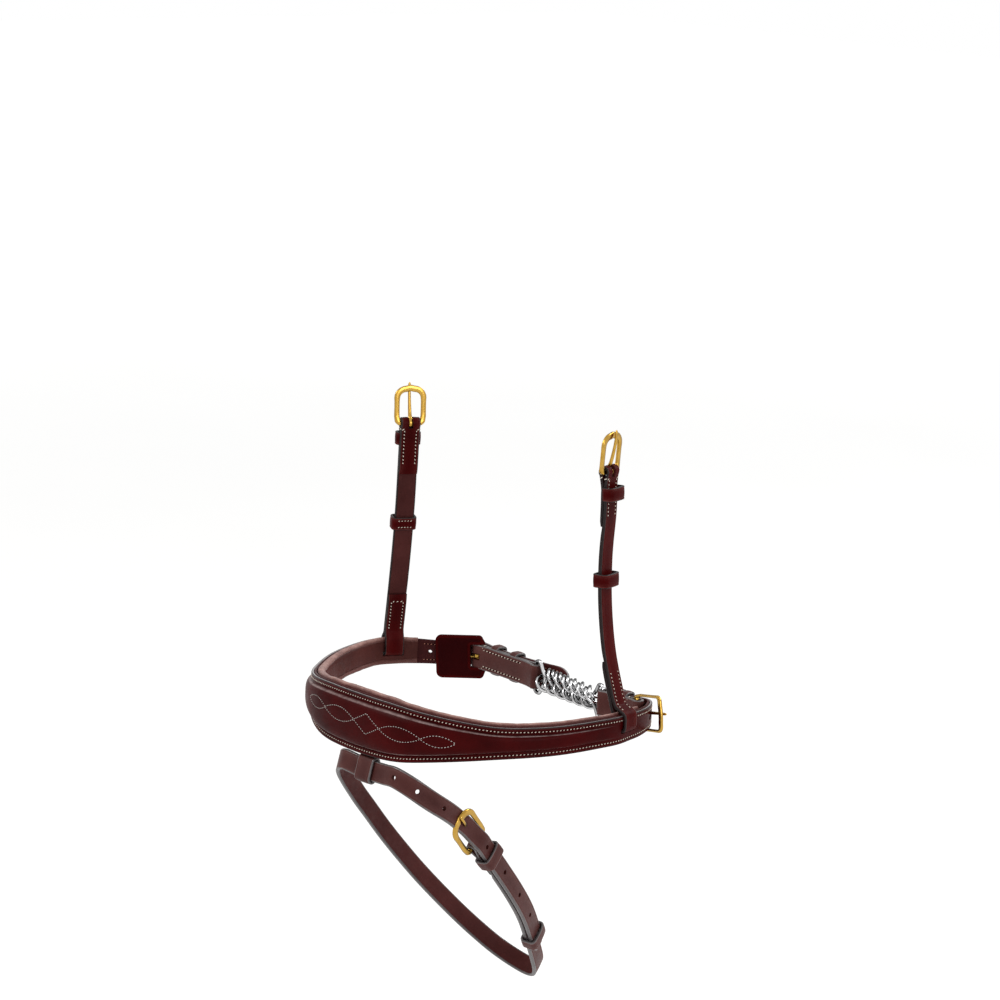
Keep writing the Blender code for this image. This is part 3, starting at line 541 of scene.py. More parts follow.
class Groups:
    """The shader node groups that several finishes share, each built once."""

    @staticmethod
    def _start(name: str, inputs: dict[str, object], outputs: dict[str, str]) -> tuple[NodeMaker, dict, dict]:
        """Start a group.

        Args:
            name: The group's name.
            inputs: Input names with their default values.
            outputs: Output names with their socket kinds.

        Returns:
            The node maker, the input sockets and the group's output node inputs.
        """
        tree = bpy.data.node_groups.new(name, "ShaderNodeTree")
        for title, value in inputs.items():
            kind = "NodeSocketColor" if isinstance(value, tuple) else "NodeSocketFloat"
            socket = tree.interface.new_socket(title, in_out="INPUT", socket_type=kind)
            socket.default_value = value
        for title, kind in outputs.items():
            tree.interface.new_socket(title, in_out="OUTPUT", socket_type=kind)
        maker = NodeMaker(tree)
        start = maker.add("NodeGroupInput")
        end = maker.add("NodeGroupOutput")
        return maker, {k: start.outputs[k] for k in inputs}, {k: end.inputs[k] for k in outputs}

    @staticmethod
    def leather() -> bpy.types.NodeTree:
        """Leather grain: pebbled cells with fine, darkened creases, cloudy dye, and the rub tone on rubbed places and
        painted highlights.
        """
        found = bpy.data.node_groups.get("leather_grain")
        if found:
            return found
        maker, given, out = Groups._start(
            "leather_grain",
            {"Tone": (0.1, 0.03, 0.03, 1), "Shade": (0.04, 0.01, 0.01, 1), "Worn": (0.2, 0.1, 0.08, 1),
             "Wear": 0.0, "Cells": 900.0, "Smooth": 0.35, "Rough": 0.55},
            {"Colour": "NodeSocketColor", "Roughness": "NodeSocketFloat", "Height": "NodeSocketFloat"})
        place = maker.add("ShaderNodeTexCoord").outputs["Object"]
        warp = maker.add("ShaderNodeTexNoise", None, {"Vector": place, "Scale": 420.0, "Detail": 1.0})
        moved = maker.add("ShaderNodeVectorMath", {"operation": "MULTIPLY_ADD"},
                          {0: warp.outputs["Color"], 1: (0.0009, 0.0009, 0.0009), 2: place}).outputs[0]
        cells = maker.add("ShaderNodeTexVoronoi", {"feature": "DISTANCE_TO_EDGE"},
                          {"Vector": moved, "Scale": given["Cells"]}).outputs["Distance"]
        crease = maker.span(cells, 0.0, 0.16, 0.0, 1.0)
        tiny = maker.noise(place, 3200.0, 2.0)
        cloud = maker.noise(place, 34.0, 4.0, 0.6)
        patch = maker.noise(place, 160.0, 3.0, 0.65)
        dye = maker.mix(maker.span(cloud, 0.32, 0.68, 0.0, 1.0), given["Shade"], given["Tone"])
        # Darker along the grain's creases, more so in some patches.
        crease_darkening = maker.math("MULTIPLY", maker.span(crease, 0.0, 1.0, 0.45, 0.0),
                           maker.span(patch, 0.3, 0.7, 0.4, 1.0))
        dark = maker.mix(crease_darkening, dye, given["Shade"])
        # The rub tone shows where the Wear input is set: rubbed leather, and painted highlights on some pieces.
        rub_and_highlight_mask = maker.math("MULTIPLY", given["Wear"], maker.span(patch, 0.34, 0.62, 0.35, 1.0))
        gloss = maker.span(patch, 0.3, 0.7, given["Smooth"], given["Rough"])
        dull = maker.math("MULTIPLY_ADD", maker.span(crease, 0.0, 1.0, 1.0, 0.0), 0.12, gloss)
        height = maker.math("ADD", maker.math("MULTIPLY", crease, 0.75), maker.math("MULTIPLY", tiny, 0.45))
        maker.feed(out, {"Colour": maker.mix(rub_and_highlight_mask, dark, given["Worn"]), "Height": height,
                         "Roughness": maker.math("SUBTRACT", dull, maker.math("MULTIPLY", rub_and_highlight_mask, 0.06))})
        return maker.tree

    @staticmethod
    def thread() -> bpy.types.NodeTree:
        """Twisted thread: slanting strands across each stitch, soiled in places."""
        found = bpy.data.node_groups.get("twisted_thread")
        if found:
            return found
        maker, given, out = Groups._start(
            "twisted_thread", {"Tone": (0.7, 0.6, 0.45, 1), "Shade": (0.4, 0.3, 0.2, 1)},
            {"Colour": "NodeSocketColor", "Height": "NodeSocketFloat"})
        coord = maker.add("ShaderNodeTexCoord")
        parts = maker.add("ShaderNodeSeparateXYZ", None, {0: coord.outputs["UV"]})
        lean = maker.math("MULTIPLY", parts.outputs[0], 1.9)
        slant = maker.math("MULTIPLY_ADD", parts.outputs[1], 2.0, lean)
        strand = maker.math("SINE", maker.math("MULTIPLY", slant, 2 * math.pi))
        ply = maker.span(strand, -1.0, 1.0, 0.0, 1.0)
        dirt_and_painted_shade = maker.noise(coord.outputs["Object"], 190.0, 3.0)
        valley = maker.math("MULTIPLY", maker.math("SUBTRACT", 1.0, ply), 0.55)
        share = maker.math("MAXIMUM", valley, maker.span(dirt_and_painted_shade, 0.52, 0.75, 0.0, 0.75))
        maker.feed(out, {"Colour": maker.mix(share, given["Tone"], given["Shade"]), "Height": ply})
        return maker.tree

    @staticmethod
    def metal() -> bpy.types.NodeTree:
        """Polished metal: faint casting waves, hairline scratches, dull spots, and a painted-shade input that mixes
        towards near black.
        """
        found = bpy.data.node_groups.get("polished_metal")
        if found:
            return found
        maker, given, out = Groups._start(
            "polished_metal",
            {"Tone": (0.8, 0.6, 0.2, 1), "Shade": (0.5, 0.35, 0.1, 1), "Soil": 0.0, "Smooth": 0.12,
             "Rough": 0.3},
            {"Colour": "NodeSocketColor", "Roughness": "NodeSocketFloat", "Height": "NodeSocketFloat"})
        place = maker.add("ShaderNodeTexCoord").outputs["Object"]
        cloud = maker.noise(place, 260.0, 4.0, 0.6)
        drawn = maker.add("ShaderNodeMapping", None, {0: place, 3: (5200.0, 420.0, 5200.0)}).outputs[0]
        hair = maker.noise(drawn, 1.0, 2.0)
        dull = maker.span(cloud, 0.45, 0.75, 0.0, 1.0)
        clean = maker.mix(maker.math("MULTIPLY", dull, 0.6), given["Tone"], given["Shade"])
        worn = maker.math("MULTIPLY_ADD", maker.span(hair, 0.5, 0.7, 0.0, 1.0), 0.35,
                          maker.math("MULTIPLY", dull, 0.65))
        height = maker.math("ADD", maker.math("MULTIPLY", cloud, 0.8), maker.math("MULTIPLY", hair, 0.2))
        # Painted shade: the Soil input mixes the colour towards near black.
        maker.feed(out, {"Colour": maker.mix(given["Soil"], clean, (0.020, 0.018, 0.018, 1)),
                         "Roughness": maker.span(worn, 0.0, 1.0, given["Smooth"], given["Rough"]),
                         "Height": height})
        return maker.tree


def new_material(name: str) -> tuple[bpy.types.Material, NodeMaker, bpy.types.Node]:
    """An empty node material.

    Args:
        name: Its name.

    Returns:
        The material, its node maker and its Principled shader.
    """
    made = bpy.data.materials.new(name)
    made.use_nodes = True
    return made, NodeMaker(made.node_tree), made.node_tree.nodes["Principled BSDF"]


@dataclass(frozen=True)
class Dressing:
    """What every finish shares: its tones, one group of nodes and a bump from the group's height."""

    name: str
    tone: Colour
    shade: Colour

    def make(self) -> bpy.types.Material:
        """Build the material, or give the one built before."""
        found = bpy.data.materials.get(self.name)
        if not found:
            found, maker, shader = new_material(self.name)
            maker.feed(shader.inputs, self.inputs(maker))
        return found

    def inputs(self, maker: NodeMaker) -> dict:
        """What the shader's inputs get, worked out by each kind of finish."""
        raise NotImplementedError

    def surface(self, maker: NodeMaker, tree: bpy.types.NodeTree, given: dict, strength: float,
                depth: float) -> dict:
        """Add the shared group and its bump.

        Args:
            maker: The material's node maker.
            tree: The group.
            given: What the group's inputs get besides the two tones.
            strength: The bump's strength.
            depth: The bump's depth.

        Returns:
            What the shader's colour, normal and, if the group gives it, roughness get.
        """
        tones = {"Tone": (*self.tone, 1), "Shade": (*self.shade, 1)}
        group = maker.add("ShaderNodeGroup", {"node_tree": tree}, tones | given).outputs
        bump = maker.add("ShaderNodeBump", None, {"Strength": strength, "Distance": depth,
                                                  "Height": group["Height"]})
        found = {"Base Color": group["Colour"], "Normal": bump.outputs[0]}
        if "Roughness" in group:
            found["Roughness"] = group["Roughness"]
        return found


@dataclass(frozen=True)
class LeatherFinish(Dressing):
    """One leather, dyed and dressed."""

    # Lighter tone for rubbed places; on the face and the lining it is also the colour of painted highlights.
    worn: Colour
    cells: float = 900.0
    smooth: float = 0.34
    rough: float = 0.52
    relief: float = 0.05 * MM
    strength: float = 0.5
    gloss: float = 0.22
    sheen: float = 0.0

    def inputs(self, maker: NodeMaker) -> dict:
        """Dyed grain, with the worn tone where the piece's wear attribute says so: rubbing, and painted highlights."""
        wear = maker.add("ShaderNodeAttribute", {"attribute_name": "wear"}).outputs["Fac"]
        given = {"Worn": (*self.worn, 1), "Wear": wear, "Cells": self.cells, "Smooth": self.smooth,
                 "Rough": self.rough}
        found = self.surface(maker, Groups.leather(), given, self.strength, self.relief)
        return found | {"Specular IOR Level": self.gloss, "Sheen Weight": self.sheen,
                        "Sheen Roughness": 0.4}


@dataclass(frozen=True)
class ThreadFinish(Dressing):
    """One sewing thread."""

    def inputs(self, maker: NodeMaker) -> dict:
        """Twisted strands with a soft shine."""
        found = self.surface(maker, Groups.thread(), {}, 0.8, 0.12 * MM)
        return found | {"Roughness": 0.7, "Sheen Weight": 0.3}


@dataclass(frozen=True)
class MetalFinish(Dressing):
    """One polished metal."""

    smooth: float
    rough: float
    # How far the painted dark reflection darkens the base colour towards the outline, and over which span of facing.
    rim: float
    rim_span: Flat = (0.42, 0.80)

    def inputs(self, maker: NodeMaker) -> dict:
        """Polish with a painted dark reflection towards the outline, and painted shade where the attribute sets it."""
        # Painted shade from the wear attribute, set on the chain rings' inner sides.
        dirt_and_painted_shade = maker.add("ShaderNodeAttribute", {"attribute_name": "wear"}).outputs["Fac"]
        given = {"Soil": dirt_and_painted_shade, "Smooth": self.smooth, "Rough": self.rough}
        found = self.surface(maker, Groups.metal(), given, 0.35, 0.06 * MM)
        # Painted dark reflection: the base colour goes towards near black as the surface turns away from the view.
        facing = maker.add("ShaderNodeLayerWeight", None, {"Blend": 0.5}).outputs["Facing"]
        dark = maker.span(facing, *self.rim_span, 0.0, self.rim)
        outline = (*(0.05 * t for t in self.shade), 1)
        return found | {"Base Color": maker.mix(dark, found["Base Color"], outline), "Metallic": 1.0}


# The face's worn tone is mostly a painted highlight along the crown's shoulders, with a little rubbing at the edges.
FACE = LeatherFinish("face_burgundy", (0.064, 0.0024, 0.0026), (0.028, 0.0010, 0.0012), (0.46, 0.34, 0.33),
                     smooth=0.30, rough=0.42, gloss=0.04)
STRAP = LeatherFinish("strap_burgundy", (0.070, 0.0018, 0.0019), (0.036, 0.0009, 0.0010), (0.17, 0.04, 0.035),
                      smooth=0.32, rough=0.44, gloss=0.03)
BROWN = LeatherFinish("strap_brown", (0.098, 0.032, 0.028), (0.055, 0.0140, 0.0125), (0.20, 0.09, 0.08),
                      smooth=0.34, rough=0.46, gloss=0.12)
BACKING = LeatherFinish("backing_burgundy", (0.058, 0.0085, 0.0082), (0.032, 0.0040, 0.0042),
                        (0.12, 0.045, 0.035), smooth=0.4, rough=0.55, gloss=0.10)
GUARD = LeatherFinish("guard_oxblood", (0.031, 0.0010, 0.0014), (0.019, 0.0007, 0.0010), (0.07, 0.02, 0.018),
                      smooth=0.34, rough=0.46, gloss=0.03)
# The lining's worn tone is the colour of the painted highlight along the top of its upper roll.
LINING = LeatherFinish("soft_lining", (0.105, 0.018, 0.013), (0.060, 0.008, 0.006), (0.44, 0.25, 0.215),
                       cells=430.0, smooth=0.45, rough=0.65, relief=0.22 * MM, strength=0.8, gloss=0.25,
                       sheen=0.1)
PANEL = LeatherFinish("lining_panel", (0.070, 0.013, 0.011), (0.036, 0.006, 0.005), (0.16, 0.06, 0.045),
                      cells=620.0, smooth=0.5, rough=0.7, relief=0.10 * MM, gloss=0.12)
FLESH = LeatherFinish("flesh_side", (0.085, 0.020, 0.018), (0.046, 0.009, 0.008), (0.18, 0.08, 0.06),
                      cells=1500.0, smooth=0.5, rough=0.68, relief=0.05 * MM, strength=0.6, gloss=0.1)
PAINT = LeatherFinish("painted_edge", (0.014, 0.0075, 0.0072), (0.007, 0.0035, 0.0035), (0.040, 0.028, 0.027),
                      cells=2400.0, smooth=0.30, rough=0.46, relief=0.04 * MM, gloss=0.15)
# Painted sheen: lighter grey edge paint for the brown straps, in place of the shine on their dark painted edges.
SHEEN_EDGE_PAINT = LeatherFinish("worn_edge", (0.085, 0.070, 0.070), (0.035, 0.027, 0.028), (0.15, 0.13, 0.13),
                           cells=2400.0, smooth=0.22, rough=0.38, relief=0.04 * MM, gloss=0.6)
# Painted sheen: light grey edge paint for the face's side edges, in place of the shine on the dark paint.
GREY_SHEEN_PAINT = LeatherFinish("grey_edge", (0.28, 0.25, 0.25), (0.17, 0.145, 0.147), (0.38, 0.35, 0.35),
                           cells=2400.0, smooth=0.22, rough=0.38, relief=0.04 * MM, gloss=0.6)
RAW = LeatherFinish("cut_hole", (0.10, 0.020, 0.014), (0.05, 0.009, 0.007), (0.3, 0.12, 0.09),
                    cells=2400.0, smooth=0.6, rough=0.8, relief=0.05 * MM, gloss=0.1)
# Painted shade: near-black marks where the thread goes into its needle holes.
HOLE_SHADE = LeatherFinish("needle_hole", (0.008, 0.001, 0.001), (0.004, 0.0005, 0.0005), (0.02, 0.01, 0.01),
                       cells=2400.0, smooth=0.6, rough=0.8, gloss=0.03)
CREAM = ThreadFinish("cream_thread", (0.84, 0.76, 0.64), (0.52, 0.41, 0.31))
PALE = ThreadFinish("fine_thread", (0.66, 0.61, 0.57), (0.38, 0.32, 0.29))
RUST = ThreadFinish("rust_thread", (0.40, 0.14, 0.080), (0.20, 0.06, 0.035))
# The last numbers of each metal set its painted dark reflection towards the outline.
BRASS = MetalFinish("cast_brass", (0.50, 0.30, 0.060), (0.34, 0.18, 0.022), 0.20, 0.34, 0.6)
CHROME = MetalFinish("bright_chrome", (0.74, 0.74, 0.75), (0.40, 0.40, 0.41), 0.05, 0.16, 0.96, (0.16, 0.50))


def join_mesh(name: str, verts: Sequence, faces: Sequence, materials: Sequence[bpy.types.Material],
              picks: Sequence[int] | None = None, uvs: Sequence[Flat] | None = None,
              wear: Sequence[float] | None = None) -> bpy.types.Object:
    """A new object from plain geometry.

    Args:
        name: The piece's name.
        verts: Points in the world frame.
        faces: Vertex numbers of each face.
        materials: The piece's finishes.
        picks: Which finish each face takes.
        uvs: One pair for each face corner, in the faces' order.
        wear: From 0 to 1 at each point: rubbing, and painted highlights and shade on some pieces.

    Returns:
        The object, at the origin, shaded smooth.
    """
    mesh = bpy.data.meshes.new(name)
    mesh.from_pydata([tuple(v) for v in verts], [], faces)
    for one in materials:
        mesh.materials.append(one)
    if picks is not None:
        mesh.polygons.foreach_set("material_index", list(picks))
    if uvs is not None:
        layer = mesh.uv_layers.new(name="UVMap")
        layer.data.foreach_set("uv", [x for pair in uvs for x in pair])
    if wear is not None:
        layer = mesh.attributes.new("wear", "FLOAT", "POINT")
        layer.data.foreach_set("value", list(wear))
    mesh.validate()
    mesh.update()
    obj = bpy.data.objects.new(name, mesh)
    bpy.context.scene.collection.objects.link(obj)
    mesh.shade_smooth()
    return obj


def deselect() -> None:
    """Leave nothing selected."""
    for other in bpy.context.selected_objects:
        other.select_set(False)


def only(obj: bpy.types.Object) -> None:
    """Select one object alone and make it active."""
    deselect()
    obj.select_set(True)
    bpy.context.view_layer.objects.active = obj


def smooth_by_angle(obj: bpy.types.Object, degrees: float) -> None:
    """Shade smooth, with edges sharper than an angle kept crisp."""
    only(obj)
    bpy.ops.object.shade_smooth_by_angle(angle=math.radians(degrees))


def skin(name: str, rings: Sequence[Sequence[Vector]], materials: Sequence[bpy.types.Material],
         picks: Sequence[int] | None = None, closed: bool = False,
         wear: Sequence[Sequence[float]] | None = None, crisp: float = 50.0) -> bpy.types.Object:
    """A piece skinned through rings of points.

    Args:
        name: The piece's name.
        rings: Sections, each with the same count of points going round.
        materials: The finishes.
        picks: The finish of each stretch of a section.
        closed: Whether the last section joins the first.
        wear: For each point of each section, rubbing, painted highlight and painted shade, from 0 to 1.
        crisp: Edges sharper than this angle stay crisp.

    Returns:
        The piece, with its faces outward and UVs in metres.
    """
    count = len(rings[0])
    verts = [p for ring in rings for p in ring]
    along = lengths([ring[0] for ring in rings])
    middle = rings[len(rings) // 2]
    around = lengths([*middle, middle[0]])
    faces, chosen, uvs = [], [], []
    last = len(rings) if closed else len(rings) - 1
    for i in range(last):
        j = (i + 1) % len(rings)
        end = along[j] if j else along[-1] + (rings[0][0] - rings[-1][0]).length
        for k in range(count):
            m = (k + 1) % count
            faces.append((i * count + k, i * count + m, j * count + m, j * count + k))
            chosen.append(picks[k] if picks else 0)
            uvs += [(along[i], around[k]), (along[i], around[k + 1]), (end, around[k + 1]), (end, around[k])]
    if not closed:
        for start, turn in ((0, -1), ((len(rings) - 1) * count, 1)):
            faces.append(tuple(range(start, start + count))[::turn])
            chosen.append(chosen[0] if picks is None else int(Finish.PAINT))
            uvs += [(0.0, 0.0)] * count
    rubbed = [w for ring in wear for w in ring] if wear else None
    obj = join_mesh(name, verts, faces, materials, chosen, uvs, rubbed)
    only(obj)
    bpy.ops.object.mode_set(mode="EDIT")
    bpy.ops.mesh.select_all(action="SELECT")
    bpy.ops.mesh.normals_make_consistent(inside=False)
    bpy.ops.object.mode_set(mode="OBJECT")
    smooth_by_angle(obj, crisp)
    return obj


def strap_materials(grain: LeatherFinish = STRAP) -> list[bpy.types.Material]:
    """Grain side, painted edge and flesh side, in the order of Finish."""
    # Brown straps get the lighter edge paint with the painted sheen.
    edge = SHEEN_EDGE_PAINT if grain is BROWN else PAINT
    return [grain.make(), edge.make(), FLESH.make()]


@dataclass(frozen=True)
class StrapSection:
    """The cross-section of a cut strap: rounded painted edges and pressed lines."""

    edge: float = 0.75 * MM
    line_inset: float = 1.9 * MM
    line_depth: float = 0.28 * MM
    line_width: float = 0.9 * MM
    dome: float = 0.12 * MM

    def ring(self, half: float, low: float, high: float) -> list[Flat]:
        """Points going round the section.

        Args:
            half: Half the strap's width.
            low: Height of its flesh side.
            high: Height of its grain side.

        Returns:
            (across, out) pairs, always the same count.
        """
        edge = min(self.edge, (high - low) * 0.48, half * 0.5)
        flat = half - edge
        points = [(flat * t, low) for t in (-1, -0.5, 0, 0.5)]
        points += arc((flat, low + edge), edge, -90, 0, 3)
        points += arc((flat, high - edge), edge, 0, 90, 3)
        inset = half - min(self.line_inset, half * 0.35)
        width = min(self.line_width, half * 0.12)
        top = [(inset + width / 2, 0.0), (inset, -self.line_depth), (inset - width / 2, 0.0)]
        top += [((inset - width) * t, self.dome * (1 - t * t)) for t in (1, 0.6, 0.25)]
        points += [(y, high + z) for y, z in top]
        points += [(-y, high + z) for y, z in top[::-1]]
        points += arc((-flat, high - edge), edge, 90, 180, 3)
        points += arc((-flat, low + edge), edge, 180, 270, 3)[:-1]
        return points

    def picks(self) -> list[int]:
        """The finish of each stretch of the ring."""
        return runs((Finish.FLESH, 4), (Finish.PAINT, 7), (Finish.GRAIN, 13), (Finish.PAINT, 7))

    def wear(self) -> list[float]:
        """How rubbed each point of the ring is: the leather beside the painted edges."""
        marks = [0.0] * 4 + [0.05, 0.2, 0.3, 0.3, 0.3, 0.45, 0.6, 0.7]
        top = [0.5, 0.0, 0.3, 0.15, 0.05, 0.0]
        marks += top + top[::-1]
        marks += [0.7, 0.6, 0.45, 0.3, 0.3, 0.3, 0.2]
        return marks


@dataclass
class Station:
    """One place along a strap: x of the frame runs along it, z to its grain side."""

    frame: Matrix
    half: float
    low: float
    high: float


def lay_strap(name: str, stations: Sequence[Station], section: StrapSection,
              materials: Sequence[bpy.types.Material], closed: bool = False) -> bpy.types.Object:
    """A strap skinned through its stations.

    Args:
        name: The piece's name.
        stations: Places along it.
        section: Its cross-section.
        materials: Grain, paint and flesh.
        closed: Whether it is a loop.

    Returns:
        The strap.
    """
    rings = [[s.frame @ Vector((0, y, z)) for y, z in section.ring(s.half, s.low, s.high)] for s in stations]
    return skin(name, rings, materials, section.picks(), closed, [section.wear()] * len(rings))


def plane_stations(plane: Matrix, controls: Sequence[Flat], half: float, thick: Callable[[float], float],
                   step: float, closed: bool = False, fine: int = 12) -> list[Station]:
    """Stations of a strap that runs in one plane, with its grain side on the left of its travel.

    Args:
        plane: Frame whose x and y are the path's plane and whose z is across the strap.
        controls: The middle of the strap, in metres.
        half: Half its width.
        thick: Its thickness at a length along the path.
        step: Distance between stations.
        closed: Whether the path is a loop.
        fine: Fineness of the curve.

    Returns:
        The stations.
    """
    route = Route([Vector((*p, 0)) for p in controls], closed, fine)
    count = max(4, round(route.length / step))
    found = []
    for k in range(count if closed else count + 1):
        place = route.length * k / count
        heading = route.heading(place, 0.4 * MM)
        left = Vector((-heading.y, heading.x, 0))
        centre = route.at(place)
        turned = plane.to_3x3()
        frame = axes(plane @ centre, turned @ heading, turned @ left)
        wall = thick(place)
        found.append(Station(frame, half, -wall / 2, wall / 2))
    return found


def cutter_box(name: str, size: Sequence[float], place: Matrix, round_ends: float) -> bpy.types.Object:
    """A box made by hand, to be cut away, that leaves raw leather on the cut faces.

    Args:
        name: A name for it.
        size: Its three sizes.
        place: Where it is.
        round_ends: Radius of the edges along its z axis.

    Returns:
        The cutter.
    """
    deselect()
    bpy.ops.mesh.primitive_cube_add(size=1)
    obj = bpy.context.object
    obj.name = name
    bpy.ops.object.mode_set(mode="EDIT")
    bpy.ops.transform.resize(value=size)
    work = bmesh.from_edit_mesh(obj.data)
    for edge in work.edges:
        a, b = (v.co for v in edge.verts)
        edge.select_set(abs(a.z - b.z) > 0.5 * size[2])
    work.select_flush(True)
    bmesh.update_edit_mesh(obj.data)
    bpy.ops.mesh.bevel(offset=round_ends, segments=6)
    bpy.ops.object.mode_set(mode="OBJECT")
    obj.data.transform(place)
    obj.data.materials.append(RAW.make())
    return obj


def cutter_round(name: str, radius: float, length: float, place: Matrix) -> bpy.types.Object:
    """A round punch along z of its frame, that leaves raw leather on the cut faces.

    Args:
        name: A name for it.
        radius: Its radius.
        length: Its length.
        place: Where it is.

    Returns:
        The cutter.
    """
    deselect()
    bpy.ops.mesh.primitive_cylinder_add(vertices=28, radius=radius, depth=length)
    obj = bpy.context.object
    obj.name = name
    obj.data.transform(place)
    obj.data.materials.append(RAW.make())
    return obj


def cut_away(obj: bpy.types.Object, cutters: Sequence[bpy.types.Object]) -> None:
    """Cut tools out of a piece, and leave the tools for another piece.

    Args:
        obj: The piece.
        cutters: What is cut out of it, in order.
    """
    for cutter in cutters:
        step = obj.modifiers.new("cut", "BOOLEAN")
        step.operation = "DIFFERENCE"
        step.solver = "EXACT"
        step.material_mode = "TRANSFER"
        step.object = cutter
        only(obj)
        bpy.ops.object.modifier_apply(modifier=step.name)
    smooth_by_angle(obj, 45)


def discard(objects: Iterable[bpy.types.Object]) -> None:
    """Remove helper objects and their meshes."""
    for obj in objects:
        mesh = obj.data
        bpy.data.objects.remove(obj, do_unlink=True)
        bpy.data.meshes.remove(mesh)


def deliver(obj: bpy.types.Object, body: str, slot: str | None = None, nodes: Sequence[str] = ()) -> None:
    """Let a finished piece ride on its body.

    Args:
        obj: The piece.
        body: The CAD body.
        slot: The record's material slot that it takes its finish from.
        nodes: The CAD nodes that it stands for.
    """
    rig.ride(obj, body)
    if slot:
        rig.slot(obj, slot)
    if nodes:
        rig.replaces(obj, *nodes)
    LOG.info("%s: %d faces on %s", obj.name, len(obj.data.polygons), body)


@dataclass
class Stitching:
    """Rows of small arched stitches gathered into one mesh.

    The pitch is the length of a stitch with its gap, and the slant how many degrees it turns from its row.
    """

    _shape: ClassVar[tuple[np.ndarray, list[tuple[int, ...]]] | None] = None

    name: str
    thread: ThreadFinish
    width: float = 0.7 * MM
    pitch: float = 2.3 * MM
    gap: float = 1.1 * MM
    slant: float = 26.0
    places: list[tuple[Matrix, float]] = field(default_factory=list)
    holes: list[Matrix] = field(default_factory=list)

    @classmethod
    def shape(cls) -> tuple[np.ndarray, list[tuple[int, ...]]]:
        """One stitch, modelled once: a grain of thread a unit long with its ends bent down."""
        if cls._shape is None:
            deselect()
            bpy.ops.mesh.primitive_uv_sphere_add(segments=6, ring_count=6, radius=0.5)
            obj = bpy.context.object
            bpy.ops.object.mode_set(mode="EDIT")
            bpy.ops.transform.rotate(value=math.pi / 2, orient_axis="Y", center_override=(0, 0, 0))
            bpy.ops.object.mode_set(mode="OBJECT")
            points = np.array([v.co for v in obj.data.vertices])
            points[:, 0] = np.sign(points[:, 0]) * 0.5 * np.abs(points[:, 0] * 2) ** 0.8
            faces = [tuple(p.vertices) for p in obj.data.polygons]
            discard([obj])
            cls._shape = (points, faces)
        return cls._shape

    def stitch(self, start: Vector, end: Vector, outward: Vector) -> None:
        """Add one stitch between two holes."""
        middle = (start + end) / 2
        self.places.append((axes(middle, end - start, outward), (end - start).length))

    def row(self, line: Sequence[tuple[Vector, Vector]]) -> None:
        """A row of stitches along a line on a surface.

        Args:
            line: Points close together, each with the surface's outward direction there.
        """
        marks = lengths([point for point, _ in line])
        count = max(1, round(marks[-1] / self.pitch))

        def read(which: int, place: float) -> Vector:
            """The line's point (0) or outward direction (1) at a length along it."""
            i, share = stretch(marks, place)
            return line[i][which].lerp(line[i + 1][which], share)

        for k in range(count):
            low = marks[-1] * k / count + self.gap / 2
            high = marks[-1] * (k + 1) / count - self.gap / 2
            start, end = read(0, low), read(0, high)
            outward = read(1, (low + high) / 2)
            self.stitch(start, end, outward)
            if k:
                self.holes.append(axes(read(0, low - self.gap / 2), end - start, outward))

    def mesh(self) -> bpy.types.Object:
        """Copy the stitch to every place, with a painted-shade mark at each needle hole, as one object."""
        shape, pattern = self.shape()
        verts, faces, uvs = [], [], []
        for index, (frame, length) in enumerate(self.places):
            local = shape * np.array((length, self.width, self.width * 0.9))
            reach = np.abs(shape[:, 0]) * 2
            local[:, 2] += self.width * (0.12 - 0.42 * reach ** 2)
            turn = np.array(frame @ Matrix.Rotation(math.radians(self.slant), 4, "Z"))
            verts.append(local @ turn[:3, :3].T + turn[:3, 3])
            start = index * len(shape)
            faces += [tuple(start + i for i in f) for f in pattern]
            for f in pattern:
                for i in f:
                    x, y, z = shape[i]
                    uvs.append((x * length / MM, math.atan2(z, y) / (2 * math.pi)))
        picks = [0] * len(faces)
        # Painted shade: a flat near-black mark at each needle hole between the stitches.
        size = np.array((self.gap * 1.1, self.width * 1.2, self.width * 0.3))
        for index, frame in enumerate(self.holes):
            turn = np.array(frame)
            verts.append((shape * size) @ turn[:3, :3].T + turn[:3, 3])
            start = (len(self.places) + index) * len(shape)
            faces += [tuple(start + i for i in f) for f in pattern]
            uvs += [(0.0, 0.0)] * sum(len(f) for f in pattern)
            picks += [1] * len(pattern)
        return join_mesh(self.name, np.concatenate(verts), faces, [self.thread.make(), HOLE_SHADE.make()],
                         picks, uvs)

    def make(self, body: str) -> None:
        """Sew the rows and let them ride on a body."""
        deliver(self.mesh(), body)


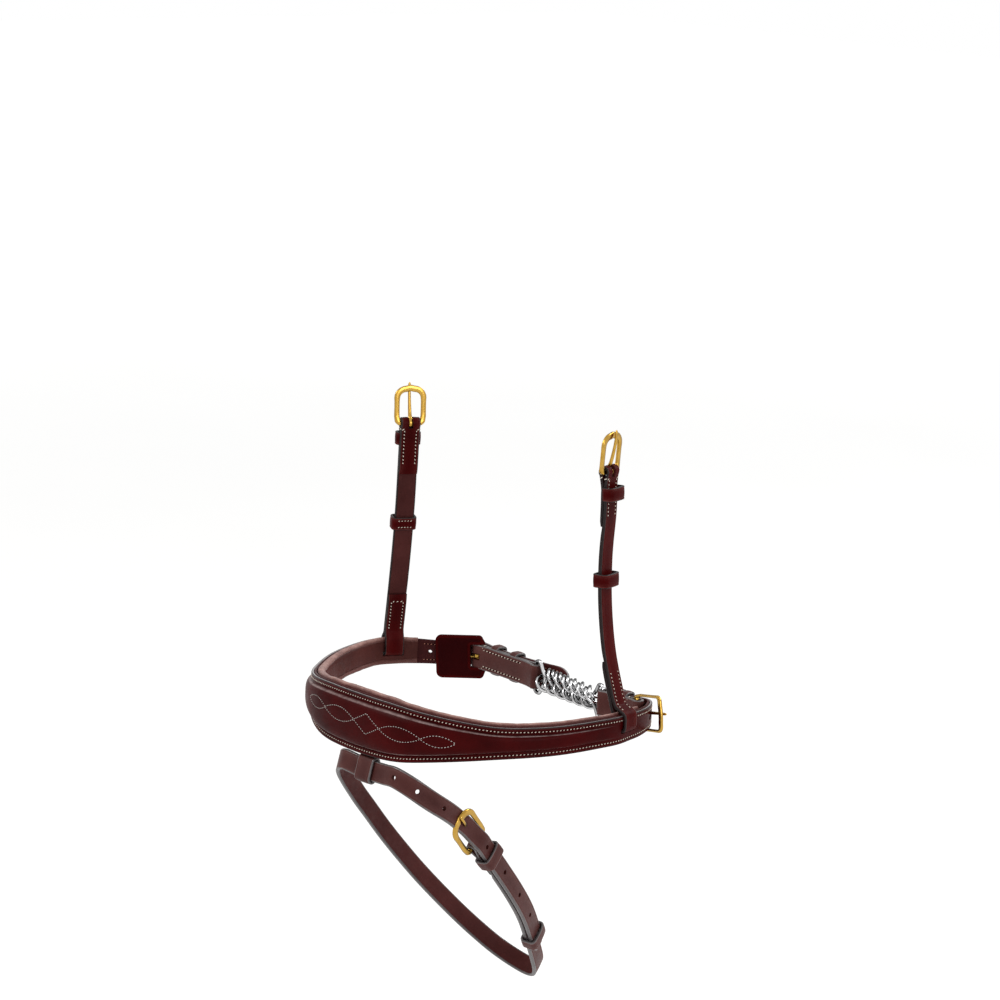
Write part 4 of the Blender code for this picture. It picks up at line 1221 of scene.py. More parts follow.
class Band:
    """The line that the nose part's layers follow, and the shape of each layer across it."""

    def __init__(self) -> None:
        """Lay the line from the off tip round the front to the near tip."""
        near = metres(FRONT_PLAN_MM[1:] + NEAR_PLAN_MM)
        off = [Vector((-p.x, p.y, 0)) for p in metres(FRONT_PLAN_MM[1:] + OFF_PLAN_MM)]
        self.route = Route(off[::-1] + metres(FRONT_PLAN_MM[:1]) + near)
        lowest = min(range(len(self.route.points)), key=lambda i: self.route.points[i].y)
        self.front = self.route.marks[lowest]
        self.low = -self.front
        self.high = self.route.length - self.front

    def frame(self, place: float) -> tuple[Vector, Vector]:
        """Point and outward direction at a signed length from the front."""
        heading = self.route.heading(place + self.front)
        return self.route.at(place + self.front), Vector((heading.y, -heading.x, 0))

    def point(self, place: float, outward: float, up: float) -> Vector:
        """A point beside the line."""
        base, normal = self.frame(place)
        return base + normal * outward + UP * up

    def place_at_y(self, side: int, y: float) -> float:
        """Find where the line crosses a depth on one side, past its widest part.

        Args:
            side: Plus one for the near side, minus one for the off side.
            y: The depth.

        Returns:
            The signed length from the front.
        """
        place = side * 170 * MM
        while self.frame(place)[0].y < y:
            place += side * 0.2 * MM
        return place

    def nearest(self, point: Vector) -> float:
        """The signed length at which the line passes closest to a point."""
        closest = min(range(len(self.route.points)), key=lambda i: (self.route.points[i] - point).length)
        return self.route.marks[closest] - self.front

    def stations(self, step: float, low: float | None = None, high: float | None = None) -> list[float]:
        """Choose the lengths at which a layer has a section, closer towards the tips.

        Args:
            step: The usual distance between two sections.
            low: Where the layer starts, if not at the off tip.
            high: Where it ends, if not at the near tip.

        Returns:
            The signed lengths from the front, in rising order.
        """
        low = self.low if low is None else low
        high = self.high if high is None else high
        count = round((high - low) / step)
        found = {low + (high - low) * k / count for k in range(count + 1)}
        for left in (0.15, 0.5, 1.1, 2.0, 3.2, 4.6):
            found.update((low + left * MM, high - left * MM))
        return sorted(found)

    def centre(self, place: float) -> float:
        """Height of the middle of the layers over the line's own plane."""
        return soft_blend(CENTRE_MM, place / MM, 9.0) * MM

    def half_height(self, place: float) -> float:
        """Half the height of the backing."""
        half = soft_blend(HALF_HEIGHTS_MM, place / MM, 9.0) * MM
        left = min(place - self.low, self.high - place)
        if left < BILLET_TIP:
            half *= math.sqrt(max(0.0, 1 - (1 - max(left, 0.1 * MM) / BILLET_TIP) ** 2)) * 0.8 + 0.2
        return half

    def face_half(self, place: float) -> float:
        """Half the height of the face."""
        half = self.half_height(place)
        return half - min(FACE_INSET, half * 0.3)

    def foot(self, place: float) -> float:
        """Where the raised crown starts."""
        half = self.face_half(place)
        return max(half - CROWN_MARGIN, half * 0.3)

    def crown(self, place: float) -> float:
        """How far the middle of the face stands proud."""
        return soft_blend(CROWN_MM, place / MM, 6.0) * MM

    def face_height(self, place: float, up: float) -> float:
        """Work out how far the face's surface is from the line.

        Args:
            place: Signed length from the front.
            up: Height over the middle of the layers.

        Returns:
            The distance, with the crown, the channel round it and the pressed seam.
        """
        crown = self.crown(place)
        share = abs(up) / self.foot(place)
        level = GAP + FACE_THICK
        if share < 1:
            level += crown * math.sqrt(1 - share ** CROWN_POWER)
        channel = (abs(up) - self.foot(place) - CHANNEL_OFFSET) / CHANNEL_WIDTH
        level -= min(CHANNEL_DEPTH, 0.5 * crown) * math.exp(-channel * channel)
        seam = (abs(up) - (self.face_half(place) - ROW_INSET)) / SEAM_WIDTH
        return level - SEAM_DEPTH * math.exp(-seam * seam)

    def on_face(self, place: float, up: float) -> tuple[Vector, Vector]:
        """A point on the face's surface and the surface's outward direction there.

        Args:
            place: Signed length from the front.
            up: Height over the middle of the layers.

        Returns:
            The point and the direction.
        """
        reach = 0.25 * MM
        middle = self.centre(place)
        here = self.point(place, self.face_height(place, up), middle + up)
        along = (self.point(place + reach, self.face_height(place + reach, up), middle + up)
                 - self.point(place - reach, self.face_height(place - reach, up), middle + up))
        rise = (self.point(place, self.face_height(place, up + reach), middle + up + reach)
                - self.point(place, self.face_height(place, up - reach), middle + up - reach))
        return here, along.cross(rise).normalized()


@dataclass
class NosePart:
    """Face, backing and soft lining of the nose part, with their stitching."""

    band: Band
    step: float = 2.6 * MM
    roll: float = 3.1 * MM
    pattern_middle: float = 12.5 * MM
    # Painted highlight along the top of the lining's upper roll, with a faint lightening over the rest of it.
    roll_wear: tuple[float, ...] = (0, 0, 0, 0.4, 0.95, 1, 0.9, 0.6, 0.3) + (0.15,) * 21

    def layer(self, name: str, stations: Sequence[float], outline: Callable[[float], list[Flat]],
              picks: Sequence[int] | None, wear: Callable[[float], list[float]] | None,
              materials: Sequence[bpy.types.Material]) -> bpy.types.Object:
        """Skin one layer along the band.

        Args:
            name: The piece's name.
            stations: Lengths at which the layer has a section.
            outline: The section at a length, as (outward, up) pairs.
            picks: Which material each stretch of a section takes, if there are several.
            wear: For each point of a section, rubbing and painted highlight, if any.
            materials: The layer's materials.

        Returns:
            The layer.
        """
        rings = [[self.band.point(s, out, up + self.band.centre(s)) for out, up in outline(s)]
                 for s in stations]
        rubbed = [wear(s) for s in stations] if wear else None
        return skin(name, rings, materials, picks, False, rubbed)

    def face_outline(self, place: float) -> list[Flat]:
        """Section of the face: crown, channel, stitched margin and painted edge."""
        half, foot = self.band.face_half(place), self.band.foot(place)
        edge = min(0.5 * MM, half / 4)
        rows = [foot * share for share in CROWN_SHARES]
        rows += [foot + (half - edge - foot) * share for share in MARGIN_SHARES]
        upper = [(self.band.face_height(place, z), z) for z in rows]
        top = upper[-1][0]
        corner = [(top - edge + x, z) for x, z in arc((0, half - edge), edge, 30, 90, 2)]
        side = upper + corner + [(GAP + 0.2 * MM, half), (GAP, half - 0.2 * MM)]
        return side[::-1] + [(n, -z) for n, z in side[1:]]

    def face_picks(self) -> list[int]:
        """Finish of each stretch of the face's section."""
        return runs((Finish.FLESH, 2), (Finish.PAINT, 3), (Finish.GRAIN, 42), (Finish.PAINT, 3),
                    (Finish.FLESH, 3))

    def face_wear(self, place: float) -> list[float]:
        """Where the face takes its worn tone: a painted highlight along the crown's shoulders, and rubbing at the
        outer edges.
        """
        marks = []
        foot, half = self.band.foot(place), self.band.face_half(place)
        raised = min(1.0, self.band.crown(place) / (2 * MM))
        for _, z in self.face_outline(place):
            # Painted highlight: a thin light line at each shoulder of the raised crown.
            shoulder = math.exp(-((abs(z) / foot - 0.965) / 0.024) ** 2) * raised
            rim = 0.15 * ease((abs(z) - half + 0.9 * MM) / (0.8 * MM))
            marks.append(min(1.0, shoulder + rim))
        return marks

    def backing_outline(self, place: float) -> list[Flat]:
        """Section of the backing with its rounded painted edges."""
        half = self.band.half_height(place)
        edge = min(0.6 * MM, half / 3)
        low, high = -BACKING_THICK, 0.0
        points = [(high, z * (half - edge)) for z in (-1, -0.5, 0, 0.5)]
        points += arc((high - edge, half - edge), edge, 0, 90, 3)
        points += arc((low + edge, half - edge), edge, 90, 180, 3)
        points += [(low, z * (half - edge)) for z in (0.5, 0, -0.5)]
        points += arc((low + edge, -half + edge), edge, 180, 270, 3)
        points += arc((high - edge, -half + edge), edge, 270, 360, 3)[:-1]
        return points

    def padding_outline(self, place: float) -> list[Flat]:
        """Section of the soft lining: rolls at both edges and a flat middle panel."""
        thick = blend(PADDING_THICK_MM, abs(place) / MM) * MM
        thick *= 1 + 0.04 * math.sin(place / (3.1 * MM)) + 0.03 * math.sin(place / (1.13 * MM) + 1.3)
        half = self.band.half_height(place) - 0.8 * MM
        half += 0.12 * MM * math.sin(place / (2.3 * MM) + 0.7) * math.sin(place / (5.2 * MM))
        low, high = -half, half + PADDING_RISE
        outer = -BACKING_THICK - PADDING_GAP
        outer -= TAB_THICK * (1 - ease((abs(place - TAB_PLACE) - TAB_RECESS) / (6 * MM)))
        roll = min(self.roll, 0.3 * half)
        thick *= min(1.0, 0.35 + 0.65 * ease((PADDING_END - abs(place)) / (5 * MM)))
        swell = []
        for angle in (70, 45, 20, 0, -20, -42, -62):
            turn = math.radians(angle)
            swell.append((outer - thick * (0.42 + 0.5 * math.cos(turn)), roll * (1 - math.sin(turn)) * 0.62))
        for depth, inset in ((0.74, 0.0), (0.84, 0.8), (0.88, 2.0)):
            swell.append((outer - thick * depth, roll * 1.25 + inset * MM))
        inset = swell[-1][1]
        points = [(outer, low + 0.9 * MM), (outer, 0), (outer, high - 1.4 * MM),
                  (outer - 0.35 * MM, high - 0.55 * MM), (outer - 0.2 * thick, high - 0.12 * MM)]
        points += [(out, high - up) for out, up in swell]
        panel = high - low - 2 * inset
        points += [(outer - thick * 0.9, low + inset + panel * t) for t in (0.75, 0.5, 0.25)]
        points += [(out, low + up) for out, up in swell[::-1]]
        return points + [(outer - 0.2 * thick, low + 0.12 * MM), (outer - 0.3 * MM, low + 0.4 * MM)]

    def slot_cutters(self) -> list[bpy.types.Object]:
        """Tools for the two slots that the hanger straps go through."""
        found = []
        for side in Side:
            point, normal = self.band.frame(self.band.place_at_y(side.sign, HANGER_Y))
            place = axes(point + UP * SLOT_MIDDLE, normal, UP)
            turned = place @ Matrix.Rotation(math.pi / 2, 4, "Y")
            found.append(cutter_box(f"slot_{side.word}", (SLOT_TALL, SLOT_WIDTH, 24 * MM), turned,
                                    1.2 * MM))
        return found

    def hole_cutters(self, holes: Sequence[tuple[Vector, Vector]], radius: float) -> list[bpy.types.Object]:
        """Make round punches along the given lines.

        Args:
            holes: Point and direction of each hole.
            radius: The punches' radius.

        Returns:
            The cutters.
        """
        found = []
        for point, along in holes:
            turned = axes(point, along, UP) @ Matrix.Rotation(math.pi / 2, 4, "Y")
            found.append(cutter_round("hole", radius, 12 * MM, turned))
        return found

    def on_back(self, place: float, up: float) -> tuple[Vector, Vector]:
        """The same as the band's on_face, for the backing's inner side."""
        return (self.band.point(place, -BACKING_THICK, up + self.band.centre(place)),
                -self.band.frame(place)[1])

    def stitch_rows(self) -> None:
        """Sew the margins of the face, and the same rows where they show on the inside."""
        front = Stitching("stitching_margins", CREAM)
        back = Stitching("stitching_billets", RUST)
        tip = 7 * MM
        first, last = self.band.low + tip, self.band.high - tip
        places = [first + (last - first) * k / 700 for k in range(701)]
        for side in (-1, 1):
            line = [(s, side * (self.band.face_half(s) - ROW_INSET)) for s in places]
            front.row([self.band.on_face(*at) for at in line])
            for low, high in ((first, -PADDING_END - 3 * MM), (PADDING_END + 3 * MM, last)):
                back.row([self.on_back(*at) for at in line if low <= at[0] <= high])
        for end, sign in ((first, -1), (last, 1)):
            reach = self.band.face_half(end) - ROW_INSET
            turns = [math.radians(angle) for angle in range(-90, 91, 10)]
            line = [(end + sign * 0.42 * tip * math.cos(turn), reach * math.sin(turn)) for turn in turns]
            front.row([self.band.on_face(*at) for at in line])
            back.row([self.on_back(*at) for at in line])
        front.make("band")
        back.make("band")

    def fancy_stitch(self) -> None:
        """Lay the crossing lines of fine thread over the crown: a diamond with lenses beside it."""
        sewing = Stitching("stitching_fancy", PALE, 0.46 * MM, 1.9 * MM, 0.72 * MM, 0.0)
        figures = ((0.0, 11.0, 6.6), (11.0, 39.0, 4.4), (39.0, 60.0, 3.6))
        for sign in (-1, 1):
            for (start, end, rise), tall in ((f, t) for f in figures for t in (-1, 1)):
                line = []
                for k in range(61):
                    t = k / 60
                    arch = 1 - t if start == 0 else math.sin(math.pi * t) ** 0.85
                    off = sign * (start + (end - start) * t) * MM
                    s = self.pattern_middle + off
                    level = -0.5 * MM - 0.035 * off + tall * rise * arch * MM
                    line.append(self.band.on_face(s, level - self.band.centre(s)))
                sewing.row(line)
        sewing.make("band")

    def build(self, holes: Sequence[tuple[Vector, Vector]],
              pins: Sequence[tuple[Vector, Vector]]) -> None:
        """Make the three layers and sew them.

        Args:
            holes: Point and direction of each billet hole.
            pins: The same for the holes that the prongs go through.
        """
        stations = self.band.stations(self.step)
        # The face's side edges take the grey painted sheen, and its corners the dark edge paint.
        face = self.layer("noseband_face_leather", stations, self.face_outline, self.face_picks(),
                          self.face_wear, [FACE.make(), PAINT.make(), GREY_SHEEN_PAINT.make()])
        backing = self.layer("noseband_backing_leather", stations, self.backing_outline, None, None,
                             [BACKING.make()])
        inside = self.band.stations(self.step, -PADDING_END, PADDING_END)
        picks = [0] * 12 + [1] * 8 + [0] * 10
        padding = self.layer("noseband_soft_lining", inside, self.padding_outline, picks,
                             lambda _: list(self.roll_wear), [LINING.make(), PANEL.make()])
        slots = self.slot_cutters()
        punches = self.hole_cutters(holes, HOLE_RADIUS * 0.7) + self.hole_cutters(pins, 1.8 * MM)
        cut_away(face, slots + punches)
        cut_away(backing, slots + punches)
        cut_away(padding, slots)
        discard(slots + punches)
        deliver(face, "band", "face_leather", ["noseband_face"])
        deliver(backing, "band", "backing_leather", ["noseband_backing"])
        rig.padded(padding, fill=0.55)
        deliver(padding, "band", "padding_leather", ["noseband_padding"])
        self.stitch_rows()
        self.fancy_stitch()
        self.loop_tab()

    def loop_tab(self) -> None:
        """The tab between backing and lining that carries the flash loop."""
        near, far = -BACKING_THICK - GAP, -BACKING_THICK - GAP - TAB_THICK
        edge = 0.5 * MM
        rings = []
        for k in range(13):
            outline = [(near, TAB_LOW + edge), (near, TAB_TOP - edge), (near - edge, TAB_TOP),
                       (far + edge, TAB_TOP), (far, TAB_TOP - edge), (far, TAB_LOW + edge),
                       *arc((far + edge, TAB_LOW + edge), edge, 200, 250, 2),
                       *arc((near - edge, TAB_LOW + edge), edge, 290, 340, 2)]
            rings.append([self.band.point(TAB_PLACE + TAB_HALF * (k / 6 - 1), *p) for p in outline])
        tab = skin("flash_tab_leather", rings, strap_materials(), [0, 1, 1, 1, 0, 1, 1, 1, 1, 1, 1, 1])
        deliver(tab, "band", "strap_leather", ["flash_loop_tab"])


@dataclass
class Buckle:
    """A cast brass buckle: x of its frame runs from the bar to the end bar, z points outward.

    The prong's line lists length along the buckle, height, half its thickness and half its width, in mm.
    """

    place: Matrix
    half_width: float
    leg: float
    corner: float = 6 * MM
    end_width: float = 4.2 * MM
    length: float = BUCKLE_LENGTH
    flat: float = 1.05 * MM
    bar_steps: int = 12
    prong_mm: tuple[tuple[float, ...], ...] = (
        (2.1, -1.55, 0.62, 1.3), (3.4, -0.55, 0.9, 1.3), (5.2, 0.55, 1.1, 1.25), (8.5, 1.2, 1.1, 1.15),
        (12.5, 1.85, 1.05, 1.04), (16.5, 2.35, 0.98, 1.0), (20.0, 2.65, 0.92, 0.98),
        (23.5, 2.68, 0.86, 0.95), (25.2, 2.6, 0.74, 0.85), (26.1, 2.5, 0.5, 0.6), (26.4, 2.44, 0.16, 0.2))

    def frame_path(self) -> list[tuple[Vector, float, float]]:
        """The middle line of the frame with half its width and half its height at each point."""
        y = self.half_width + self.leg / 2
        leg, bar, end = self.leg / 2, BAR_HALF, self.end_width / 2
        far = self.length
        path: list[tuple[Vector, float, float]] = []
        for k in range(self.bar_steps + 1):
            t = k / self.bar_steps * 2 - 1
            path.append((Vector((0, -t * (y - 1.3 * MM), 0)), bar, bar))
        shoulder = [(0.25, 0.0), (0.8, 0.12), (1.3, 0.55)]
        path += [(Vector((x * MM, -(y - (1.3 - z * 1.3) * MM), 0)), leg * 0.98, bar) for x, z in shoulder]
        for t in (0.2, 0.35, 0.5, 0.65):
            path.append((Vector((far * t, -y, 0)), leg * (1 - 0.1 * math.sin(math.pi * t)), self.flat))
        radius = self.corner
        turn_x = far - radius + 0.4 * MM
        for angle in range(-90, 1, 15):
            turn = math.radians(angle)
            share = (angle + 90) / 90
            bow = 0.5 * MM * share
            path.append((Vector((turn_x + (radius - 0.4 * MM) * math.cos(turn) + bow * 0.6,
                                 -(y - radius) + radius * math.sin(turn), 0)),
                         leg + (end - leg) * share, self.flat))
        half = len(path)
        middle = y - radius
        path += [(Vector((far + 0.9 * MM * math.cos(t * math.pi / 2), t * middle, 0)), end, self.flat)
                 for t in (-0.66, -0.33, 0.0, 0.33, 0.66)]
        mirrored = [(Vector((p.x, -p.y, p.z)), a, b) for p, a, b in path[self.bar_steps + 1:half][::-1]]
        return path + mirrored

    def frame_piece(self, name: str) -> bpy.types.Object:
        """Cast the frame with a rounded section."""
        path = self.frame_path()
        count = len(path)
        rings = []
        for i, (point, wide, tall) in enumerate(path):
            heading = (path[(i + 1) % count][0] - path[i - 1][0]).normalized()
            side = Vector((heading.y, -heading.x, 0))
            ring = []
            for k in range(16):
                angle = 2 * math.pi * k / 16
                c, s = math.cos(angle), math.sin(angle)
                c = math.copysign(abs(c) ** 0.5, c)
                s = math.copysign(abs(s) ** 0.62, s)
                ring.append(self.place @ (point + side * wide * c + UP * tall * s))
            rings.append(ring)
        return skin(name, rings, [BRASS.make()], None, True, None, 80)

    def prong_piece(self, name: str) -> bpy.types.Object:
        """Bend the prong round the bar, with its pin over the end bar."""
        eye = 2.42 * MM
        line = [(eye * math.cos(math.radians(a)), eye * math.sin(math.radians(a)), 0.57, 1.3)
                for a in range(50, 320, 18)]
        line += [(x * MM, z * MM, t, w) for x, z, t, w in self.prong_mm]
        rings = []
        for i, (x, z, thick, wide) in enumerate(line):
            a, b = line[max(0, i - 1)], line[min(len(line) - 1, i + 1)]
            heading = Vector((b[0] - a[0], 0, b[1] - a[1])).normalized()
            normal = Vector((-heading.z, 0, heading.x))
            ring = []
            for k in range(14):
                angle = 2 * math.pi * k / 14
                ring.append(self.place @ (Vector((x, 0, z)) + normal * thick * MM * math.sin(angle)
                                          + Vector((0, 1, 0)) * wide * MM * math.cos(angle)))
            rings.append(ring)
        return skin(name, rings, [BRASS.make()], None, False, None, 80)

    def build(self, name: str, frame_body: str, prong_body: str) -> None:
        """Make both pieces and let them ride on their bodies.

        Args:
            name: What the names of the pieces and of the nodes start with.
            frame_body: The frame's body.
            prong_body: The prong's body.
        """
        frame = self.frame_piece(f"{name}_buckle_brass")
        deliver(frame, frame_body, "brass", [f"{name}_buckle_frame"])
        prong = self.prong_piece(f"{name}_prong_brass")
        deliver(prong, prong_body, "brass", [f"{name}_buckle_prong"])


@dataclass
class Keeper:
    """A leather loop round a strap: x along the strap, y across, z outward from low to high."""

    place: Matrix
    low: float
    high: float
    half_width: float
    length: float = KEEPER_LENGTH
    grain: LeatherFinish = STRAP
    section: StrapSection = StrapSection(edge=0.5 * MM, line_inset=1.35 * MM, line_depth=0.22 * MM,
                                         line_width=0.7 * MM, dome=0.1 * MM)

    def outline(self) -> list[Flat]:
        """The middle line of the loop in (y, z)."""
        wall = KEEPER_WALL / 2
        y = self.half_width + GAP + wall
        low, high = self.low - wall, self.high + wall
        radius = min(2.0 * MM, (high - low) / 2 - 0.1 * MM)
        found = arc((y - radius, high - radius), radius, 0, 80, 4)
        found += [((y - radius) * t, high + 0.4 * MM * (1 - t * t)) for t in (0.6, 0.2, -0.2, -0.6)]
        found += arc((-y + radius, high - radius), radius, 100, 180, 4)
        found += arc((-y + radius, low + radius), radius, 180, 270, 3)
        found += [((y - radius) * t, low) for t in (-0.5, 0.0, 0.5)]
        found += arc((y - radius, low + radius), radius, 270, 360, 3)
        return found[::-1]

    def build(self, name: str, body: str, node: str) -> None:
        """Make the keeper.

        Args:
            name: The piece's name.
            body: The body that it rides on.
            node: The CAD node that it stands for.
        """
        plane = self.place @ Matrix(((0, 0, 1, 0), (1, 0, 0, 0), (0, 1, 0, 0), (0, 0, 0, 1)))
        stations = plane_stations(plane, self.outline(), self.length / 2, lambda _: KEEPER_WALL, 0.9 * MM,
                                  True, 6)
        obj = lay_strap(name, stations, self.section, strap_materials(self.grain), True)
        deliver(obj, body, "strap_leather", [node])

    def overlap_stitches(self, name: str, body: str) -> None:
        """Sew two short rows across the keeper's inner side, where its ends overlap.

        Args:
            name: The piece's name.
            body: The body that it rides on.
        """
        sewing = Stitching(name, CREAM, 0.55 * MM, 1.9 * MM, 0.7 * MM)
        level = self.low - KEEPER_WALL
        inward = -(self.place.to_3x3() @ UP)
        for x in (-0.26, 0.26):
            sewing.row([(self.place @ Vector((x * self.length, y * self.half_width, level)), inward)
                        for y in np.linspace(-0.78, 0.78, 9)])
        sewing.make(body)


@dataclass
class HangerStrap:
    """One hanger strap with its loop on the band, its buckle and its keepers."""

    side: Side
    band: Band
    section: StrapSection = StrapSection(edge=0.8 * MM, line_inset=1.5 * MM, line_depth=0.2 * MM)
    loop_line_mm: tuple[Flat, ...] = ((-1.5, 13.6), (-0.3, 12.3), (0.8, 11.1), (2.3, 9.8), (3.0, 8.6),
                                      (3.3, 7.0), (3.3, 4.0), (3.3, 1.0), (2.7, -0.4), (1.2, -0.8),
                                      (-2.0, -0.8), (-5.2, -0.75), (-6.3, -0.2), (-6.55, 1.2),
                                      (-6.55, 4.0), (-6.5, 7.6), (-6.2, 9.8), (-5.7, 11.4), (-4.8, 13.4))
    bow_mm: tuple[float, ...] = (0, 0, 0, 0, 0, 0)
    lean_mm: tuple[Flat, ...] = ((9.8, 0.0), (13.4, 0.0))
    bend_mm: tuple[Flat, Flat] = ((-2.6, 11.3), (-3.6, 20.3))
    fixed_place: float = 10.5 * MM
    slider_room: float = GAP
    slider_rise: float = 6 * MM
    buckle_tilt: float = math.radians(-6)
    row_y: float = 4.0 * MM
    stations: list[Station] = field(init=False)
    name: str = field(init=False)
    upright: Matrix = field(init=False)
    route: Route = field(init=False)

    def __post_init__(self) -> None:
        """Find the strap's plane and its middle line."""
        self.name = f"{self.side.word}_hanger"
        point, normal = self.band.frame(self.band.place_at_y(self.side.sign, HANGER_Y))
        self.upright = axes(point, normal, UP) @ Matrix.Rotation(math.pi / 2, 4, "X")
        self.route = Route(metres((x + bow, z) for (x, z), bow in zip(HANGER_PROFILE_MM, self.bow_mm)))

    def beside(self, place: float, outward: float) -> Flat:
        """Find a point beside the strap's middle line, in its plane.

        Args:
            place: Length up the strap.
            outward: Distance from the middle line, positive outward.

        Returns:
            The point.
        """
        heading = self.route.heading(place)
        point = self.route.at(place)
        return point.x + heading.y * outward, point.y - heading.x * outward

    def loop_point(self, number: int) -> Flat:
        """A point of the fold round the band, in the strap's plane."""
        x, z = self.loop_line_mm[number]
        return (x + blend(self.lean_mm, z)) * MM, z * MM

    def along(self, place: float) -> Matrix:
        """The frame at a length up the strap: x up, z outward."""
        where = self.upright @ self.route.at(place)
        up = self.upright.to_3x3() @ self.route.heading(place)
        return axes(where, up, up.cross(self.upright.to_3x3() @ UP))

    def strap(self) -> None:
        """One strap folded round the buckle bar and round the band."""
        bar = self.route.length
        laid = [(self.beside(bar - left * MM, -(wall / 2) * MM), wall)
                for left, wall in ((34, 0.9), (31, 1.9), (26, 2.15), (20, 2.2), (14, 2.2), (9.5, 2.1))]
        end, heading = self.route.at(bar), self.route.heading(bar)
        turn = math.degrees(math.atan2(heading.y, heading.x))
        laid += [(point, 1.8) for point in arc((end.x, end.y), 3.0 * MM, turn + 130, turn - 130, 13)]
        laid += [(self.beside(bar - left * MM, PLY / 2), 2.2) for left in (9.5, 14, 20, 26, 32)]
        laid += [(self.beside(float(place), 0.9 * MM), 2.6)
                 for place in np.linspace(bar - 40 * MM, 32 * MM, 12)]
        laid += [(self.beside(place * MM, PLY / 2), 2.2) for place in (26, 20, 14, 8, 3)]
        laid += [(self.loop_point(k), 2.1) for k in range(len(self.loop_line_mm))]
        laid += [(self.beside(place * MM, -(wall / 2) * MM), wall)
                 for place, wall in ((1, 2.15), (8, 2.2), (16, 2.2), (23, 1.9), (26, 0.9))]
        line = [point for point, _ in laid]
        knots = Route([Vector((*p, 0)) for p in line], False, 12).marks[::12]

        def thick(place: float) -> float:
            """The strap's thickness at a length along the line."""
            i, share = stretch(knots, place)
            return (laid[i][1] + (laid[i + 1][1] - laid[i][1]) * share) * MM

        self.stations = plane_stations(self.upright, line, STRAP_HALF, thick, 1.6 * MM)
        obj = lay_strap(f"{self.name}_leather", self.stations, self.section, strap_materials())
        top = self.along(bar)
        slot = cutter_box("prong_slot", (8.4 * MM, 3.2 * MM, 12 * MM),
                          top @ Matrix.Translation((0.8 * MM, 0, 0)), 1.4 * MM)
        cut_away(obj, [slot])
        discard([slot])
        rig.slot(obj, "strap_leather")
        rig.replaces(obj, f"{self.name}_loop", f"{self.name}_strap")
        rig.blend(obj, "band", self.name, *self.bend_ends())
        LOG.info("%s: one folded strap, %d faces", obj.name, len(obj.data.polygons))

    def bend_ends(self) -> tuple[Vector, Vector]:
        """Where the strap starts and stops bending as the hanger swings."""
        low, high = metres(self.bend_mm)
        return self.upright @ low, self.upright @ high

    def nearest(self, flat: Flat) -> int:
        """The station whose middle lies closest to a point of the strap's plane."""
        point = self.upright @ Vector((*flat, 0))
        gaps = [(s.frame.translation - point).length for s in self.stations]
        return gaps.index(min(gaps))

    def seam(self, sewing: Stitching, start: Flat, end: Flat, tacked: Flat | None = None) -> None:
        """Sew both borders of the grain side between two points of the strap's plane.

        Args:
            sewing: The thread and its rows.
            start: Where the rows start.
            end: Where they end.
            tacked: Which of the two has stitches round the edge, if any.
        """
        first, last = sorted((self.nearest(start), self.nearest(end)))
        chosen = self.stations[first:last + 1]
        for side in (-1, 1):
            y = side * self.row_y
            sewing.row([(s.frame @ Vector((0, y, s.high)), s.frame.to_3x3() @ UP) for s in chosen])
            if tacked is None:
                continue
            at = self.stations[self.nearest(tacked)]
            across = at.frame.to_3x3() @ Vector((0, side, 0))
            rim = side * (STRAP_HALF - 0.1 * MM)
            sewing.stitch(at.frame @ Vector((0, y, at.high)), at.frame @ Vector((0, rim, at.high - 0.3 * MM)),
                          at.frame.to_3x3() @ UP)
            sewing.stitch(at.frame @ Vector((0, side * STRAP_HALF, at.high - 0.2 * MM)),
                          at.frame @ Vector((0, side * STRAP_HALF, at.low - 0.6 * MM)), across)

    def rows(self) -> None:
        """Sew the folded ends on both faces, with tacks round the edges."""
        upper = Stitching(f"{self.name}_stitching", CREAM)
        lower = Stitching(f"{self.name}_foot_stitching", CREAM)
        bar = self.route.length
        for outward in (PLY / 2, -PLY / 2):
            far, near = (self.beside(bar - left * MM, outward) for left in (28, 4))
            self.seam(upper, far, near, near)
        self.seam(lower, self.beside(19.5 * MM, PLY / 2), self.loop_point(2))
        inner_end = self.beside(22.0 * MM, -PLY / 2)
        self.seam(lower, self.beside(1.0 * MM, -PLY / 2), inner_end)
        top = self.stations[self.nearest(inner_end)]
        lower.row([(top.frame @ Vector((0, float(y), top.high)), top.frame.to_3x3() @ UP)
                   for y in np.linspace(-self.row_y, self.row_y, 7)])
        upper.make(self.name)
        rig.blend(lower.mesh(), "band", self.name, *self.bend_ends())

    def build(self) -> None:
        """Make the whole hanger."""
        self.strap()
        self.rows()
        bar = self.route.length
        top = self.along(bar) @ Matrix.Rotation(self.buckle_tilt, 4, "Y")
        buckle = Buckle(top, STRAP_HALF + 0.5 * MM, WIDE_LEG)
        buckle.build(self.name, f"{self.name}_buckle", f"{self.name}_prong")
        fixed = Keeper(self.along(bar - self.fixed_place), KEEPER_WALL / 2, PLY + BILLET_SPACE, STRAP_HALF)
        fixed.build(f"{self.name}_fixed_keeper_leather", self.name, f"{self.name}_fixed_keeper")
        slider = Keeper(self.along(bar * 0.49 + self.slider_rise), -0.4 * MM - self.slider_room,
                        PLY + BILLET_SPACE, STRAP_HALF)
        slider.build(f"{self.name}_sliding_keeper_leather", f"{self.name}_slider",
                     f"{self.name}_sliding_keeper")
        slider.overlap_stitches(f"{self.name}_keeper_stitching", f"{self.name}_slider")


